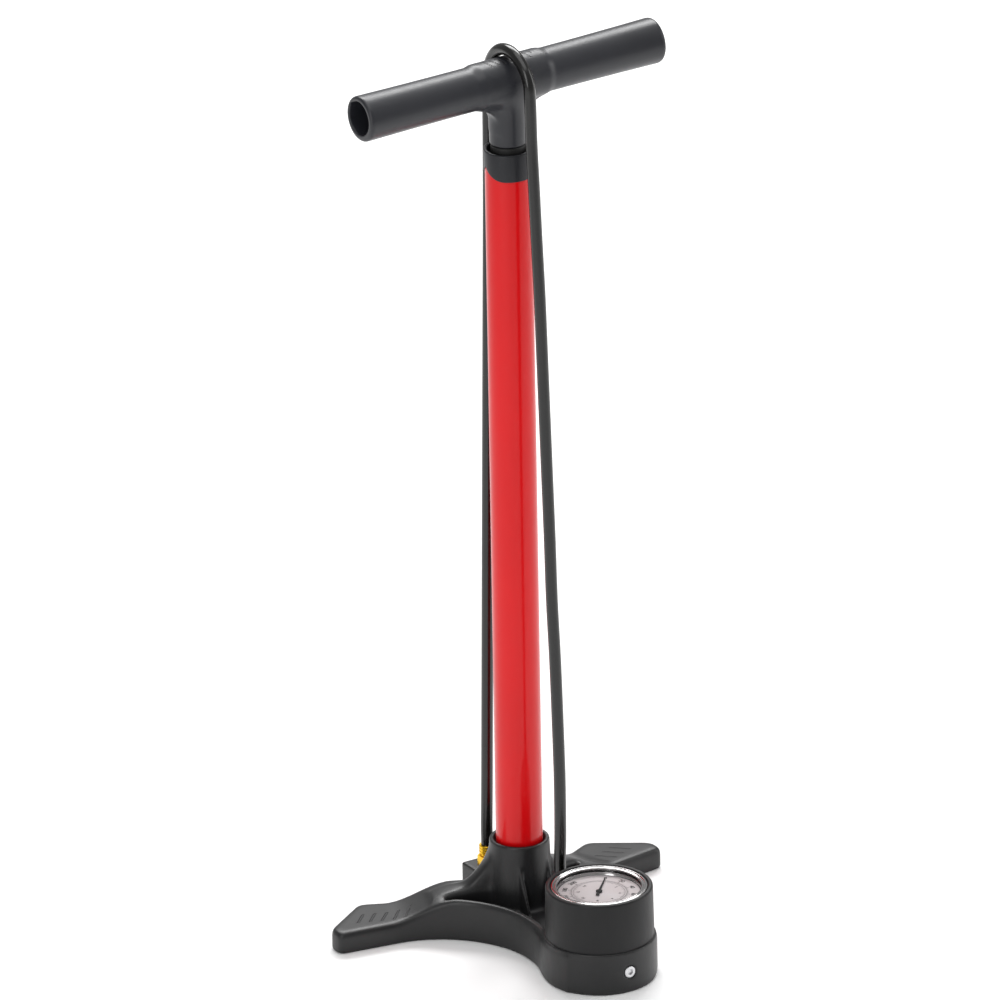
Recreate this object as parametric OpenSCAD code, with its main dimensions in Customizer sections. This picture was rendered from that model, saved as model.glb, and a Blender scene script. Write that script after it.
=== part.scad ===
// Floor pump for bicycle tyres: a barrel on a two-footed base, a gauge as the third
// foot, a T handle, and a hose that goes up behind the barrel, over the handle and down
// to its chuck, parked between the barrel and the gauge.
// The barrel's axis is Z, the floor is z = 0 and the gauge is towards -Y.

/* [Barrel] */
// Outside diameter of the barrel tube
barrel_od = 33; // [27:0.5:40]
// Wall of the barrel tube
barrel_wall = 1.5; // [1:0.1:2]
// Length of the barrel tube
barrel_len = 556; // [400:1:680]
// Height of the collar that caps the barrel
collar_h = 20; // [17:0.5:26]
// Wall of the collar outside the barrel
collar_wall = 0.7; // [0.5:0.1:2]
// Height of the pointed arches in the collar's lower edge
collar_arch_h = 8.3; // [3:0.1:10]
// Direction of the arches, anticlockwise from +X
collar_arch_turn = -10; // [-30:1:30]
// Depth of the cup in the collar's top
collar_cup = 6; // [3:0.5:8]

/* [Piston and rod] */
// Diameter of the piston rod
rod_d = 12.7; // [10:0.1:15.5]
// Height of the piston head
piston_h = 12; // [10:0.5:20]
// Height of the rubber ring that stops the stroke
topout_h = 10; // [5:0.5:20]
// Across flats of the nut under the piston
piston_nut_af = 13; // [12:0.5:16]

/* [Handle] */
// Length of the handle from end to end
handle_w = 246; // [180:1:300]
// Diameter of the grip at its ends
grip_end_d = 33; // [30:0.5:38]
// Diameter of the grip next to the saddle
grip_mid_d = 31.4; // [28:0.1:36]
// Diameter of the raised saddle that the hose lies on
saddle_d = 33.8; // [31:0.1:38]
// Length of the raised saddle
saddle_w = 52; // [40:1:80]
// Wall of the hollow grip
grip_wall = 3; // [2:0.1:5]
// Depth of the hollow in each grip
grip_hollow = 62; // [30:1:70]
// Diameter of the handle's stem
stem_d = 26.2; // [25:0.1:30]
// Height of the handle's axis above the stem's lower end
stem_h = 47; // [40:0.5:70]
// Reach of the fillet between stem and grip
stem_fillet = 13; // [6:0.5:16]
// Turn of the handle about the rod
handle_turn = 1; // [-10:0.5:10]

/* [Base] */
// Reach of each foot to the side of the barrel's axis
foot_reach = 134; // [110:1:170]
// Length of the skewed edge at a foot's tip, sideways
foot_tip_x = 39; // [20:1:45]
// Length of the skewed edge at a foot's tip, backwards
foot_tip_y = 26; // [15:1:34]
// Length of the straight side at a foot's tip
foot_tip_side = 13.3; // [5:0.1:16]
// Direction of a foot, backwards from straight sideways
foot_angle = 22; // [15:1:28]
// Height of the pad at a foot's tip
pad_h = 16; // [12:0.5:22]
// Height of the base where the feet meet
hub_h = 30.5; // [26:0.5:36]
// Height of the deck in front of the socket
deck_z = 18; // [17:0.5:22]
// Wall of the moulded base
base_wall = 4; // [3:0.1:6]
// Height of the socket's rim
socket_top = 67; // [55:0.5:85]
// Wall of the socket at its rim
socket_wall = 4.1; // [2.5:0.1:6]
// Flare of the socket from its rim to the deck
socket_flare = 2.5; // [0:0.1:6]
// Thickness of the webs that run out along the feet
web_t = 15; // [8:0.5:20]
// Width of the block that carries the hose
block_w = 22; // [18:0.5:30]
// Reach of the hose block behind the barrel's axis
block_reach = 60; // [54:0.5:66]
// Height of the hose block
block_h = 28; // [24:0.5:34]

/* [Gauge] */
// Diameter of the gauge case
gauge_d = 63; // [52:0.5:76]
// Gap between the gauge housing and the parked chuck
housing_gap = 2.4; // [1:0.1:6]
// Wall of the sleeve round the gauge
sleeve_wall = 3.8; // [3:0.1:6]
// Height of the sleeve's lower edge, where it meets the base
sleeve_z = 31; // [28:0.5:36]
// Height of the sleeve's rim
sleeve_top = 68; // [62:0.5:80]
// Rim of the gauge case round the dial
dial_rim = 2; // [1.5:0.1:4]
// Direction of the dial's zero, anticlockwise from +X
zero_angle = 47; // [0:1:90]
// Gap between the needle's tip and the dial's edge
needle_gap = 5.5; // [2:0.5:8]
// Diameter of the screw head low on the gauge housing
screw_head_d = 8.5; // [6:0.1:10]

/* [Hose and chuck] */
// Diameter of the hose
hose_d = 8.5; // [6:0.5:9]
// Distance of the hose fitting behind the barrel's axis
fitting_y = 43; // [40:1:46]
// Distance of the parked chuck in front of the barrel's axis
chuck_y = 53; // [52:0.5:54]
// Outside diameter of the chuck's turning sleeve
chuck_sleeve_d = 18; // [16:0.5:19]
// Travel of the bleed button
bleed_travel = 1.5; // [0.8:0.1:2]

/* [Fits] */
// Radial clearance of sliding and turning fits
run_fit = 0.05; // [0.02:0.01:0.1]
// Gap between pieces that move past each other without a fit
move_gap = 0.3; // [0.3:0.05:0.5]
// Radial clearance between pieces that are fixed together
set_fit = 0.03; // [0.01:0.01:0.05]

/* [Hidden] */
$fn = 96;
eps = 0.01;

// Barrel and the levels up the pump
barrel_r = barrel_od / 2;
bore_r = barrel_r - barrel_wall;
valve_z = 6;
valve_h = 18;
barrel_z = valve_z + valve_h;
barrel_top = barrel_z + barrel_len;
collar_lap = 8;
collar_z = barrel_top - collar_lap;
collar_top = collar_z + collar_h;
collar_r = barrel_r + run_fit + collar_wall;
cup_z = collar_top - collar_cup;
cup_r = collar_r - 2.2;
cup_chamfer = 0.6;
arch_span = 60;
arch_sharpness = 2.2;
bumper_stand = 3.7;
bumper_top = collar_top + bumper_stand;
stem_z = bumper_top + move_gap;

// Bushing in the collar
bushing_wall = 2.6;
bushing_r = rod_d / 2 + run_fit + bushing_wall;
bushing_h = 18;
bushing_lip = 4;
spigot_z = cup_z - bushing_h - bushing_lip;

// Rod and piston, down on its stop
rod_r = rod_d / 2;
stud_r = 4;
stud_z = 39;
nut_z = 41;
nut_h = 6.5;
washer_z = nut_z + nut_h;
washer_h = 1.6;
washer_r = bore_r - 4;
seal_h = 6;
seal_z = washer_z + washer_h + move_gap;
seal_lip = 1.8;
piston_z = seal_z + seal_h;
rod_z = piston_z + piston_h + move_gap;
ring_groove_z = piston_z + 4;
ring_h = 4;
ring_t = 2;
topout_r = rod_r + 3.4;
insert_r = rod_r + 2.4;
insert_z = stem_z + 5;
insert_h = 25;
rod_top = insert_z + insert_h - 2;

// Valve body under the barrel
valve_r = barrel_r - 0.1;
spigot_h = 12;
spigot_r = bore_r - run_fit;
inlet_r = 2;
chamber_r = 4.2;
seat_z = barrel_z - 2;
ball_r = 3;
ball_z = seat_z - sqrt(ball_r * ball_r - inlet_r * inlet_r) - run_fit;
cap_h = 3;
air_z = 10;
air_r = 2.5;
air_bore = 1.2;
oring_r = 0.9;
oring_depth = 1.8;
oring_z = barrel_z + 6;
screw_ring_r = 11.5;
base_screw_r = 1.75;
base_screw_head_r = 3.2;
base_screw_seat = 3;
base_screw_depth = 12;
small_key = 3;
screw_key = 4;

// Base
socket_r = barrel_r + 0.6 + socket_wall;
socket_base_r = socket_r + socket_flare;
socket_bore_r = barrel_r + run_fit;
socket_lip = 5;
case_r = gauge_d / 2;
bezel_r = case_r + 2.7;
sleeve_bore_r = bezel_r + move_gap;
sleeve_r = sleeve_bore_r + sleeve_wall;
sleeve_taper = 0.5;
housing_r = sleeve_r + 1.3;
housing_bore_r = case_r + 2;
housing_floor = 5;
tip_back = 16.3;
tip_edge = [foot_reach, 0.4 * foot_reach * tan(foot_angle) + tip_back];
gauge_y = -(chuck_y + chuck_sleeve_d / 2 + housing_gap + housing_r);
rib_t = 3;
lip_t = 6.5;
gusset_t = 2.4;
gusset_x = 0.42 * socket_base_r;
gusset_foot = 8.5;
gusset_rise = 33;
gusset_root = 5;

// Gauge, stacked down from the rim
bezel_top = sleeve_top - 0.3;
bezel_h = 7.2;
bezel_z = bezel_top - bezel_h;
lens_t = 2;
lens_z = bezel_top - 1.6 - lens_t;
dial_r = case_r - dial_rim;
needle_len = dial_r - needle_gap;
dial_t = 0.8;
dial_z = bezel_top - 6.4;
case_h = 27;
case_wall = 1;
case_z = lens_z - case_h;
needle_t = 0.6;
needle_z = dial_z + dial_t + 0.5;
hub_r = 2.3;
arbor_r = 0.9;
stem_block_h = 5;
stem_seat = case_z + case_wall + 0.03;
pillar_h = 6;
movement_z = stem_seat + stem_block_h + pillar_h;
tube_r = case_r - 12.5;
tube_w = 1.6;
tube_h = 5;
tube_z = dial_z - 9;
dial_ledge = 2.5;
block_half = 8;
block_back = 10;
case_flange_w = 0.9;
case_flange_h = 2.6;
gauge_thread_h = 9;
gauge_block_h = 17;
gauge_thread_r = 5;
screw_z = 15.4;
screw_sink = 2.6;
screw_r = 2.2;

// Hose fitting and chuck
hose_r = hose_d / 2;
fitting_thread_r = 4;
fitting_thread_h = 8;
fitting_hex_h = 9;
fitting_hex_af = 12;
fitting_top = block_h + 17;
crimp_r = hose_r + 1.5;
post_r = 2.6;
post_root = 4;
post_top = deck_z + 11;
ferrule_z = 50;
ferrule_h = 10;
ferrule_top = ferrule_z + ferrule_h;
ferrule_r = hose_r + 1.4;
hose_straight = 4;
chuck_z = 24;
chuck_r = 6.9;
chuck_neck_r = 6;
chuck_neck_h = 11;
sleeve_lip = 2;
chuck_bore_r = post_r + 0.6;
chuck_seal_t = 1.4;
chuck_seal_h = 4;
bleed_z = 43;
bleed_r = 1.5;
bleed_cap_r = 2.6;
bleed_cap_h = 1.8;

// Route of the hose, in the plane x = 0, as [y, z]
hose_route = [
  [fitting_y, fitting_top], [fitting_y, fitting_top + hose_straight], [43, 60],
  [42, 85], [40.5, 130], [39, 175], [37.5, 220],
  [36, 265], [34.5, 310], [33, 355], [31.5, 400], [30, 445], [28.5, 490], [27, 535],
  [26, 575], [25.5, 605], [25, 634], [21, 650], [11, 661.5], [-3, 666], [-17, 662.5],
  [-27.5, 652], [-30, 636], [-31, 605], [-33, 575], [-35.5, 535], [-38.5, 490],
  [-40.5, 445], [-42.5, 400], [-44.5, 355], [-46.5, 310], [-48, 265], [-51, 220],
  [-53, 175], [-54.5, 130], [-54.2, 90],
  [-chuck_y, ferrule_top + 2 * hose_straight], [-chuck_y, ferrule_top + hose_straight],
  [-chuck_y, ferrule_top]
];
hose_sides = 12;
hose_steps = 2;

// ---- Curves ----

// Smooth step from 0 to 1
function ease(t) = let (c = min(1, max(0, t))) c * c * (3 - 2 * c);

// Point at t between b and c on a curve that passes through a, b, c and d
function through(a, b, c, d, t) =
  0.5 * (2 * b + (c - a) * t + (2 * a - 5 * b + 4 * c - d) * t * t + (3 * b - a - 3 * c + d) * t * t * t);

// Curve through all the points, with the given steps between each two
function curve(points, steps) =
  let (last = len(points) - 1)
  concat(
    [for (i = [0:last - 1], k = [0:steps - 1])
      through(points[max(i - 1, 0)], points[i], points[i + 1], points[min(i + 2, last)], k / steps)],
    [points[last]]
  );

function unit(v) = v / norm(v);

// Direction of a path at point i
function heading(path, i) = unit(path[min(i + 1, len(path) - 1)] - path[max(i - 1, 0)]);

// Solid with the same round section at every point of a path, side giving its sideways axis
module sweep(path, sides, r, side) {
  rings = len(path);
  points = [
    for (i = [0:rings - 1], k = [0:sides - 1])
      let (a = 360 * k / sides, s = side(i), u = cross(heading(path, i), s))
      path[i] + r * cos(a) * s + r * sin(a) * u
  ];
  walls = [
    for (i = [0:rings - 2], k = [0:sides - 1])
      let (n = (k + 1) % sides)
      [i * sides + k, i * sides + n, (i + 1) * sides + n, (i + 1) * sides + k]
  ];
  ends = [
    [for (k = [sides - 1:-1:0]) k],
    [for (k = [0:sides - 1]) (rings - 1) * sides + k]
  ];
  polyhedron(points, concat(walls, ends), convexity = 8);
}

// Coil spring standing on z = 0
module coil(r, wire_r, height, turns) {
  per_turn = 12;
  path = [
    for (i = [0:turns * per_turn])
      let (a = 360 * i / per_turn)
      [r * cos(a), r * sin(a), wire_r + (height - 2 * wire_r) * i / (turns * per_turn)]
  ];
  sweep(path, 6, wire_r, function (i) [cos(360 * i / per_turn), sin(360 * i / per_turn), 0]);
}

// ---- Shared shapes ----

module ring(r_out, r_in, h) {
  difference() {
    cylinder(r = r_out, h = h);
    translate([0, 0, -eps]) cylinder(r = r_in, h = h + 2 * eps);
  }
}

module hex(af, h) {
  cylinder(r = af / sqrt(3), h = h, $fn = 6);
}

module mirrored() {
  children();
  mirror([1, 0, 0]) children();
}

// Places of the screws that hold the valve body
module at_base_screws() {
  for (i = [0:2]) rotate([0, 0, 120 * i]) translate([screw_ring_r, 0, 0]) children();
}

// Cylinder along -Y from the origin
module rod_y(r, length) {
  rotate([90, 0, 0]) cylinder(r = r, h = length);
}

// ---- Base ----

// Height of the base at a distance along a foot
function base_height(s) =
  hub_h - (hub_h - pad_h) * ease((s - socket_base_r - 22) / (foot_reach - socket_base_r - 62));

// Outline of the right half of the base, without the gauge's ring
function half_outline() =
  concat(
    [[0, block_reach * 0.4], [socket_base_r + 6, 32]],
    [[tip_edge[0] - foot_tip_x, tip_edge[1] + foot_tip_y], tip_edge],
    curve([
      [tip_edge[0], tip_edge[1] - foot_tip_side], [foot_reach * 0.54, 15], [socket_base_r + 30, 4],
      [socket_base_r + 10.5, -23], [socket_base_r + 5.5, gauge_y + 53],
      [socket_base_r + 6.5, gauge_y + 38], [housing_r - 5, gauge_y + 25]
    ], 4),
    [[0, gauge_y + 25]]
  );

// Right half of the base as a solid whose top follows base_height, grown or shrunk by inset
module half_base(inset) {
  bottom = inset > 0 ? -1 : 0;
  steps = 16;
  far = foot_reach + 30;
  intersection() {
    translate([0, 0, bottom]) linear_extrude(hub_h + 2) offset(delta = -inset) polygon(half_outline());
    rotate([0, 0, foot_angle]) translate([0, 200, 0]) rotate([90, 0, 0])
      linear_extrude(400)
        polygon(concat(
          [[far, bottom], [-80, bottom], [-80, hub_h - inset]],
          [for (i = [0:steps]) let (s = far * i / steps) [s, base_height(s) - inset]]
        ));
  }
}

// Curved web that runs from the socket out along a foot
module web() {
  drop = socket_top - 11 - hub_h;
  run = 34;
  steps = 10;
  rotate([0, 0, foot_angle]) translate([0, web_t / 2 + 4, 0]) rotate([90, 0, 0])
    linear_extrude(web_t)
      polygon(concat(
        [[0, deck_z - 4], [0, hub_h + drop]],
        [for (i = [0:steps]) let (t = i / steps)
          [socket_r + 2 + run * t, base_height(socket_r + run * t) - 1 + drop * pow(1 - t, 2.2)]],
        [[socket_r + run + 2, deck_z - 4]]
      ));
}

// Socket that holds the barrel, flared towards the deck
module socket() {
  rotate_extrude()
    polygon(concat(
      [[0, 0], [socket_base_r + 8, 0], [socket_base_r + 8, deck_z - 3]],
      [for (i = [0:8]) let (t = i / 8) [socket_base_r + 6 * pow(1 - t, 3), deck_z - 3 + 9 * t]],
      [[socket_r, socket_top - 2], [socket_r - 1.2, socket_top], [0, socket_top]]
    ));
}

// Thin upright between the socket and the deck, on the gauge's side
module gusset() {
  translate([gusset_x, 0, deck_z - 1]) rotate([90, 0, 90]) linear_extrude(gusset_t)
    polygon([
      [-socket_base_r - gusset_foot, 0], [-socket_r + gusset_root, 0],
      [-socket_r + gusset_root, gusset_rise], [-socket_r - 0.5, gusset_rise]
    ]);
}

// Hollow in front of the socket, down to the deck
module deck_hollow() {
  half_w = socket_base_r + 5.5 - lip_t;
  difference() {
    translate([0, 0, deck_z]) linear_extrude(hub_h)
      polygon([
        [half_w + 6, -10], [half_w, gauge_y + 62], [half_w + 1, gauge_y + 30],
        [-half_w - 1, gauge_y + 30], [-half_w, gauge_y + 62], [-half_w - 6, -10]
      ]);
    translate([0, gauge_y, 0]) cylinder(r = housing_r, h = socket_top);
    socket();
    mirrored() gusset();
  }
}

// Hollow under one foot, with the ribs left standing
module foot_hollow() {
  rib_step = 26;
  difference() {
    half_base(base_wall);
    rotate([0, 0, foot_angle]) translate([-50, -200, -1]) cube([50 + socket_base_r + 14, 400, 90]);
    for (i = [0:3])
      rotate([0, 0, foot_angle]) translate([socket_base_r + 20 + rib_step * i, -200, -1])
        cube([rib_t, 400, 90]);
  }
}

module base() {
  color("#2b2b2c") difference() {
    union() {
      mirrored() half_base(0);
      mirrored() web();
      socket();
      translate([-block_w / 2, 0, 0]) cube([block_w, block_reach, block_h]);
      translate([0, gauge_y, 0]) cylinder(r = housing_r, h = sleeve_z);
      mirrored() gusset();
    }
    deck_hollow();
    mirrored() foot_hollow();
    translate([0, 0, valve_z]) cylinder(r = socket_bore_r, h = socket_top);
    translate([0, 0, socket_top - socket_lip])
      cylinder(r1 = socket_bore_r, r2 = barrel_r + 1.4, h = socket_lip + eps);
    translate([0, gauge_y, housing_floor]) cylinder(r = housing_bore_r, h = sleeve_z);
    translate([0, -valve_r + 1, air_z]) rod_y(air_r + set_fit, -gauge_y - housing_bore_r - valve_r + 3);
    translate([0, fitting_y, air_z]) rod_y(air_r + set_fit, fitting_y - valve_r + 1);
    translate([0, fitting_y, air_z - air_r]) cylinder(r = air_bore + 0.6, h = block_h);
    translate([0, fitting_y, block_h - fitting_thread_h - 2])
      cylinder(r = fitting_thread_r + set_fit, h = fitting_thread_h + 3);
    translate([0, gauge_y, screw_z]) rod_y(screw_r + set_fit, housing_r + 1);
    translate([0, gauge_y - housing_r + screw_sink, screw_z]) rod_y(screw_head_d / 2 + 0.25, 4);
    translate([0, -chuck_y, deck_z - post_root - 0.2]) cylinder(r = post_r + set_fit, h = post_root + 1);
    at_base_screws() {
      translate([0, 0, -1]) cylinder(r = base_screw_r + 0.2, h = valve_z + 2);
      translate([0, 0, -1]) cylinder(r = base_screw_head_r + 0.3, h = base_screw_seat + 1 + set_fit);
    }
  }
}

// ---- Barrel ----

module barrel() {
  color("#d8171f") translate([0, 0, barrel_z]) ring(barrel_r, bore_r, barrel_len);
}

// Pointed arch that lifts the collar's lower edge
module arch_cut() {
  steps = 16;
  half_w = collar_r * sin(arch_span);
  difference() {
    translate([barrel_r * 0.3, 0, collar_z]) rotate([90, 0, 90])
      linear_extrude(barrel_r)
        polygon(concat(
          [for (i = [0:steps]) let (t = 2 * i / steps - 1)
            [collar_r * sin(arch_span * t), collar_arch_h * pow(1 - abs(t), arch_sharpness)]],
          [[half_w, -1], [-half_w, -1]]
        ));
    translate([0, 0, collar_z - 1]) cylinder(r = barrel_r - 0.6, h = collar_h);
  }
}

module barrel_collar() {
  outer = collar_r;
  slot_in = bore_r - run_fit;
  slot_out = barrel_r + run_fit;
  color("#1f1f21") difference() {
    rotate_extrude()
      polygon([
        [slot_out, collar_z], [outer, collar_z], [outer, collar_top - cup_chamfer],
        [outer - cup_chamfer, collar_top], [cup_r, collar_top], [cup_r, cup_z],
        [bushing_r + set_fit, cup_z], [bushing_r + set_fit, spigot_z + bushing_lip],
        [rod_r + 1, spigot_z + bushing_lip], [rod_r + 1, spigot_z], [slot_in, spigot_z],
        [slot_in, barrel_top + set_fit], [slot_out, barrel_top + set_fit]
      ]);
    for (side = [0, 180]) rotate([0, 0, side + collar_arch_turn]) arch_cut();
  }
}

module rod_bushing() {
  color("#e6e2d3") translate([0, 0, spigot_z + bushing_lip]) ring(bushing_r, rod_r + run_fit, bushing_h);
}

module stem_bumper() {
  color("#161616") translate([0, 0, cup_z + set_fit])
    ring(stem_d / 2 - 0.8, rod_r + 0.6, bumper_top - cup_z - set_fit);
}

// ---- Valve under the barrel ----

module valve_body() {
  color("#c9ccd0") difference() {
    union() {
      translate([0, 0, valve_z]) cylinder(r = valve_r, h = valve_h);
      translate([0, 0, barrel_z - 1]) cylinder(r = spigot_r, h = spigot_h + 1);
    }
    translate([0, 0, valve_z - 1]) cylinder(r = chamber_r, h = seat_z - valve_z + 1);
    cylinder(r = inlet_r, h = barrel_z + spigot_h + 1);
    translate([0, 0, oring_z - oring_r - 0.2])
      ring(bore_r + 1, spigot_r - oring_depth, 2 * oring_r + 0.4);
    for (s = [1, -1]) translate([0, s > 0 ? valve_r + 1 : -chamber_r + 1, air_z])
      rod_y(air_r + set_fit, valve_r - chamber_r + 2);
    at_base_screws() translate([0, 0, valve_z - 1]) cylinder(r = base_screw_r, h = base_screw_depth);
  }
}

module barrel_seal() {
  color("#121212") translate([0, 0, oring_z]) rotate_extrude()
    translate([bore_r - oring_r - set_fit, 0]) circle(r = oring_r, $fn = 24);
}

module valve_ball() {
  color("#c0c4c8") translate([0, 0, ball_z]) sphere(r = ball_r);
}

module valve_spring() {
  wire_r = 0.35;
  coil_r = 2;
  floor_z = valve_z + cap_h + set_fit;
  top = ball_z - sqrt(ball_r * ball_r - pow(coil_r + wire_r, 2)) - 0.5;
  color("#b5b8bc") translate([0, 0, floor_z]) coil(coil_r, wire_r, top - floor_z, 4);
}

module valve_cap() {
  color("#c9a13b") difference() {
    translate([0, 0, valve_z + set_fit]) cylinder(r = chamber_r - set_fit, h = cap_h - set_fit);
    translate([0, 0, valve_z - 1]) hex(small_key, 2.4);
  }
}

module base_screws() {
  shank = 13;
  head_h = 2.2;
  color("#8d9094")
    at_base_screws() translate([0, 0, base_screw_seat]) {
      cylinder(r = base_screw_r - set_fit, h = shank);
      difference() {
        translate([0, 0, -head_h]) cylinder(r = base_screw_head_r, h = head_h);
        translate([0, 0, -head_h - 1]) hex(small_key, head_h);
      }
    }
}

// ---- Piston ----

module piston_head() {
  color("#3a3d42") translate([0, 0, piston_z]) difference() {
    cylinder(r = bore_r - 0.4, h = piston_h);
    translate([0, 0, -1]) cylinder(r = stud_r + run_fit, h = piston_h + 2);
    translate([0, 0, ring_groove_z - piston_z]) ring(bore_r, bore_r - ring_t - 0.1, ring_h);
  }
}

module piston_seal() {
  color("#5b3a22") translate([0, 0, seal_z]) rotate_extrude()
    polygon([
      [stud_r + run_fit, seal_h - set_fit], [bore_r - run_fit, seal_h - set_fit], [bore_r - run_fit, 0],
      [bore_r - seal_lip, 0], [bore_r - seal_lip - 0.6, seal_h - 2.4], [stud_r + run_fit, seal_h - 2.4]
    ]);
}

module piston_ring() {
  color("#e6e2d3") translate([0, 0, ring_groove_z + set_fit])
    ring(bore_r - run_fit, bore_r - ring_t, ring_h - 2 * set_fit);
}

module piston_rod() {
  color("#b9bcc0") difference() {
    union() {
      translate([0, 0, stud_z]) cylinder(r = stud_r, h = rod_z - stud_z + 1);
      translate([0, 0, rod_z]) cylinder(r = rod_r, h = rod_top - rod_z);
    }
    translate([0, 0, rod_top - 1]) cylinder(r1 = 1, r2 = 3, h = 1 + eps);
  }
}

// Washer between the nut and the cup seal
module piston_washer() {
  color("#9a9da1") translate([0, 0, washer_z]) ring(washer_r, stud_r + set_fit, washer_h);
}

module piston_nut() {
  color("#8d9094") translate([0, 0, nut_z]) difference() {
    hex(piston_nut_af, nut_h - set_fit);
    translate([0, 0, -1]) cylinder(r = stud_r + set_fit, h = nut_h + 2);
  }
}

module topout_bumper() {
  color("#161616") translate([0, 0, rod_z + 0.2]) ring(topout_r, rod_r + set_fit, topout_h);
}

// ---- Handle ----

// Half of the grip's section along its axis: saddle, shallow step, then a slight flare
module grip_half() {
  half = handle_w / 2;
  rim = 1.4;
  step_w = 3;
  steps = 8;
  from = saddle_w / 2 + step_w;
  mid_r = grip_mid_d / 2;
  end_r = grip_end_d / 2;
  rotate([0, 90, 0]) rotate_extrude()
    polygon(concat(
      [[0, 0], [saddle_d / 2, 0], [saddle_d / 2, saddle_w / 2]],
      [for (i = [0:steps]) let (t = i / steps)
        [mid_r + (end_r - mid_r) * t * t, from + (half - from - rim) * t]],
      [[end_r - rim, half], [0, half]]
    ));
}

// Fillet that spreads the stem along the grip
module stem_flare() {
  slices = 5;
  r = stem_d / 2;
  from = stem_h - saddle_d / 2 - stem_fillet;
  rise = stem_fillet + saddle_d * 0.2;
  function spread(t) = 1 + (stem_fillet / r) * pow(t, 2.6);
  for (i = [0:slices - 1]) hull() for (k = [i, i + 1])
    translate([0, 0, from + rise * k / slices])
      scale([spread(k / slices), 1 + 0.06 * k / slices]) cylinder(r = r, h = 0.1, $fn = 32);
}

module handle() {
  color("#38393d") translate([0, 0, stem_z]) rotate([0, 0, handle_turn]) difference() {
    union() {
      translate([0, 0, stem_h]) mirrored() grip_half();
      cylinder(r = stem_d / 2, h = stem_h);
      stem_flare();
    }
    mirrored() translate([handle_w / 2 - grip_hollow, 0, stem_h]) rotate([0, 90, 0])
      cylinder(r = grip_mid_d / 2 - grip_wall, h = grip_hollow + 1);
    translate([0, 0, -1]) cylinder(r = rod_r + move_gap, h = insert_z - stem_z + 2);
    translate([0, 0, insert_z - stem_z]) cylinder(r = insert_r + set_fit, h = insert_h + set_fit);
  }
}

module handle_insert() {
  color("#c9a13b") translate([0, 0, insert_z + set_fit]) difference() {
    cylinder(r = insert_r, h = insert_h - set_fit);
    translate([0, 0, -1]) cylinder(r = rod_r + set_fit, h = rod_top - insert_z + 1);
  }
}

// ---- Gauge ----

module gauge_sleeve() {
  h = sleeve_top - sleeve_z - set_fit;
  rim = 1.2;
  shoulder = bezel_z - sleeve_z - 2 * set_fit;
  color("#262627") translate([0, gauge_y, sleeve_z + set_fit]) rotate_extrude()
    polygon([
      [sleeve_bore_r, 0], [sleeve_r, 0], [sleeve_r - sleeve_taper, h - rim],
      [sleeve_r - sleeve_taper - rim, h], [sleeve_bore_r + 0.4, h], [sleeve_bore_r, h - 0.6],
      [sleeve_bore_r, shoulder], [case_r + 1.2, shoulder], [case_r + 1.2, shoulder - 6]
    ]);
}

module gauge_case() {
  color("#17181a") translate([0, gauge_y, case_z]) difference() {
    union() {
      cylinder(r = case_r, h = case_h);
      translate([0, 0, case_h - case_flange_h]) cylinder(r = case_r + case_flange_w, h = case_flange_h);
    }
    translate([0, 0, case_wall])
      cylinder(r = case_r - case_wall, h = dial_z - case_z - case_wall - dial_ledge);
    translate([0, 0, case_wall]) cylinder(r = dial_r - dial_ledge, h = case_h);
    translate([0, 0, dial_z - case_z - set_fit]) cylinder(r = case_r - case_wall, h = case_h);
    translate([0, 0, -1]) cylinder(r = gauge_thread_r + set_fit, h = case_wall + 3);
  }
}

module gauge_bezel() {
  color("#d5d7da") translate([0, gauge_y, bezel_z]) rotate_extrude()
    polygon([
      [case_r + case_flange_w + 0.05, 0], [bezel_r, 0], [bezel_r, bezel_h - 1.4], [bezel_r - 1.2, bezel_h],
      [case_r - 1.2, bezel_h], [case_r - 1.8, bezel_h - 0.6], [case_r - 1.8, bezel_h - 1.5],
      [case_r + case_flange_w + 0.05, bezel_h - 1.5]
    ]);
}

module gauge_lens() {
  color("#eef4f5", 0.3) translate([0, gauge_y, lens_z + set_fit])
    cylinder(r = case_r + 0.7, h = lens_t - set_fit);
}

module gauge_dial() {
  color("#c9c5c6") translate([0, gauge_y, dial_z]) difference() {
    cylinder(r = dial_r, h = dial_t);
    translate([0, 0, -1]) cylinder(r = arbor_r + move_gap, h = dial_t + 2);
  }
}

module gauge_needle() {
  tail = 7;
  color("#0f0f10") translate([0, gauge_y, needle_z]) rotate([0, 0, zero_angle]) {
    linear_extrude(needle_t)
      polygon([[-tail, -1.1], [-tail, 1.1], [0, 0.9], [needle_len, 0.25], [needle_len, -0.25], [0, -0.9]]);
    cylinder(r = hub_r, h = needle_t + 0.5);
    translate([0, 0, movement_z - needle_z + 1]) cylinder(r = arbor_r, h = needle_z - movement_z);
  }
}

module bourdon_tube() {
  color("#b8862b") translate([0, gauge_y, tube_z]) rotate([0, 0, -90]) rotate_extrude(angle = 260)
    translate([tube_r, 0]) square([tube_w, tube_h]);
}

module gauge_movement() {
  plate = [20, 12, 1.2];
  color("#c9a13b") translate([0, gauge_y, movement_z]) {
    difference() {
      union() {
        for (z = [-pillar_h, 0]) translate([-plate[0] / 2, -plate[1] / 2, z]) cube(plate);
        for (x = [-8, 8]) translate([x, 0, -pillar_h]) cylinder(r = 1.4, h = pillar_h + 1);
      }
      translate([0, 0, -pillar_h - 1]) cylinder(r = arbor_r + run_fit, h = pillar_h + 4);
    }
  }
}

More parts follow.
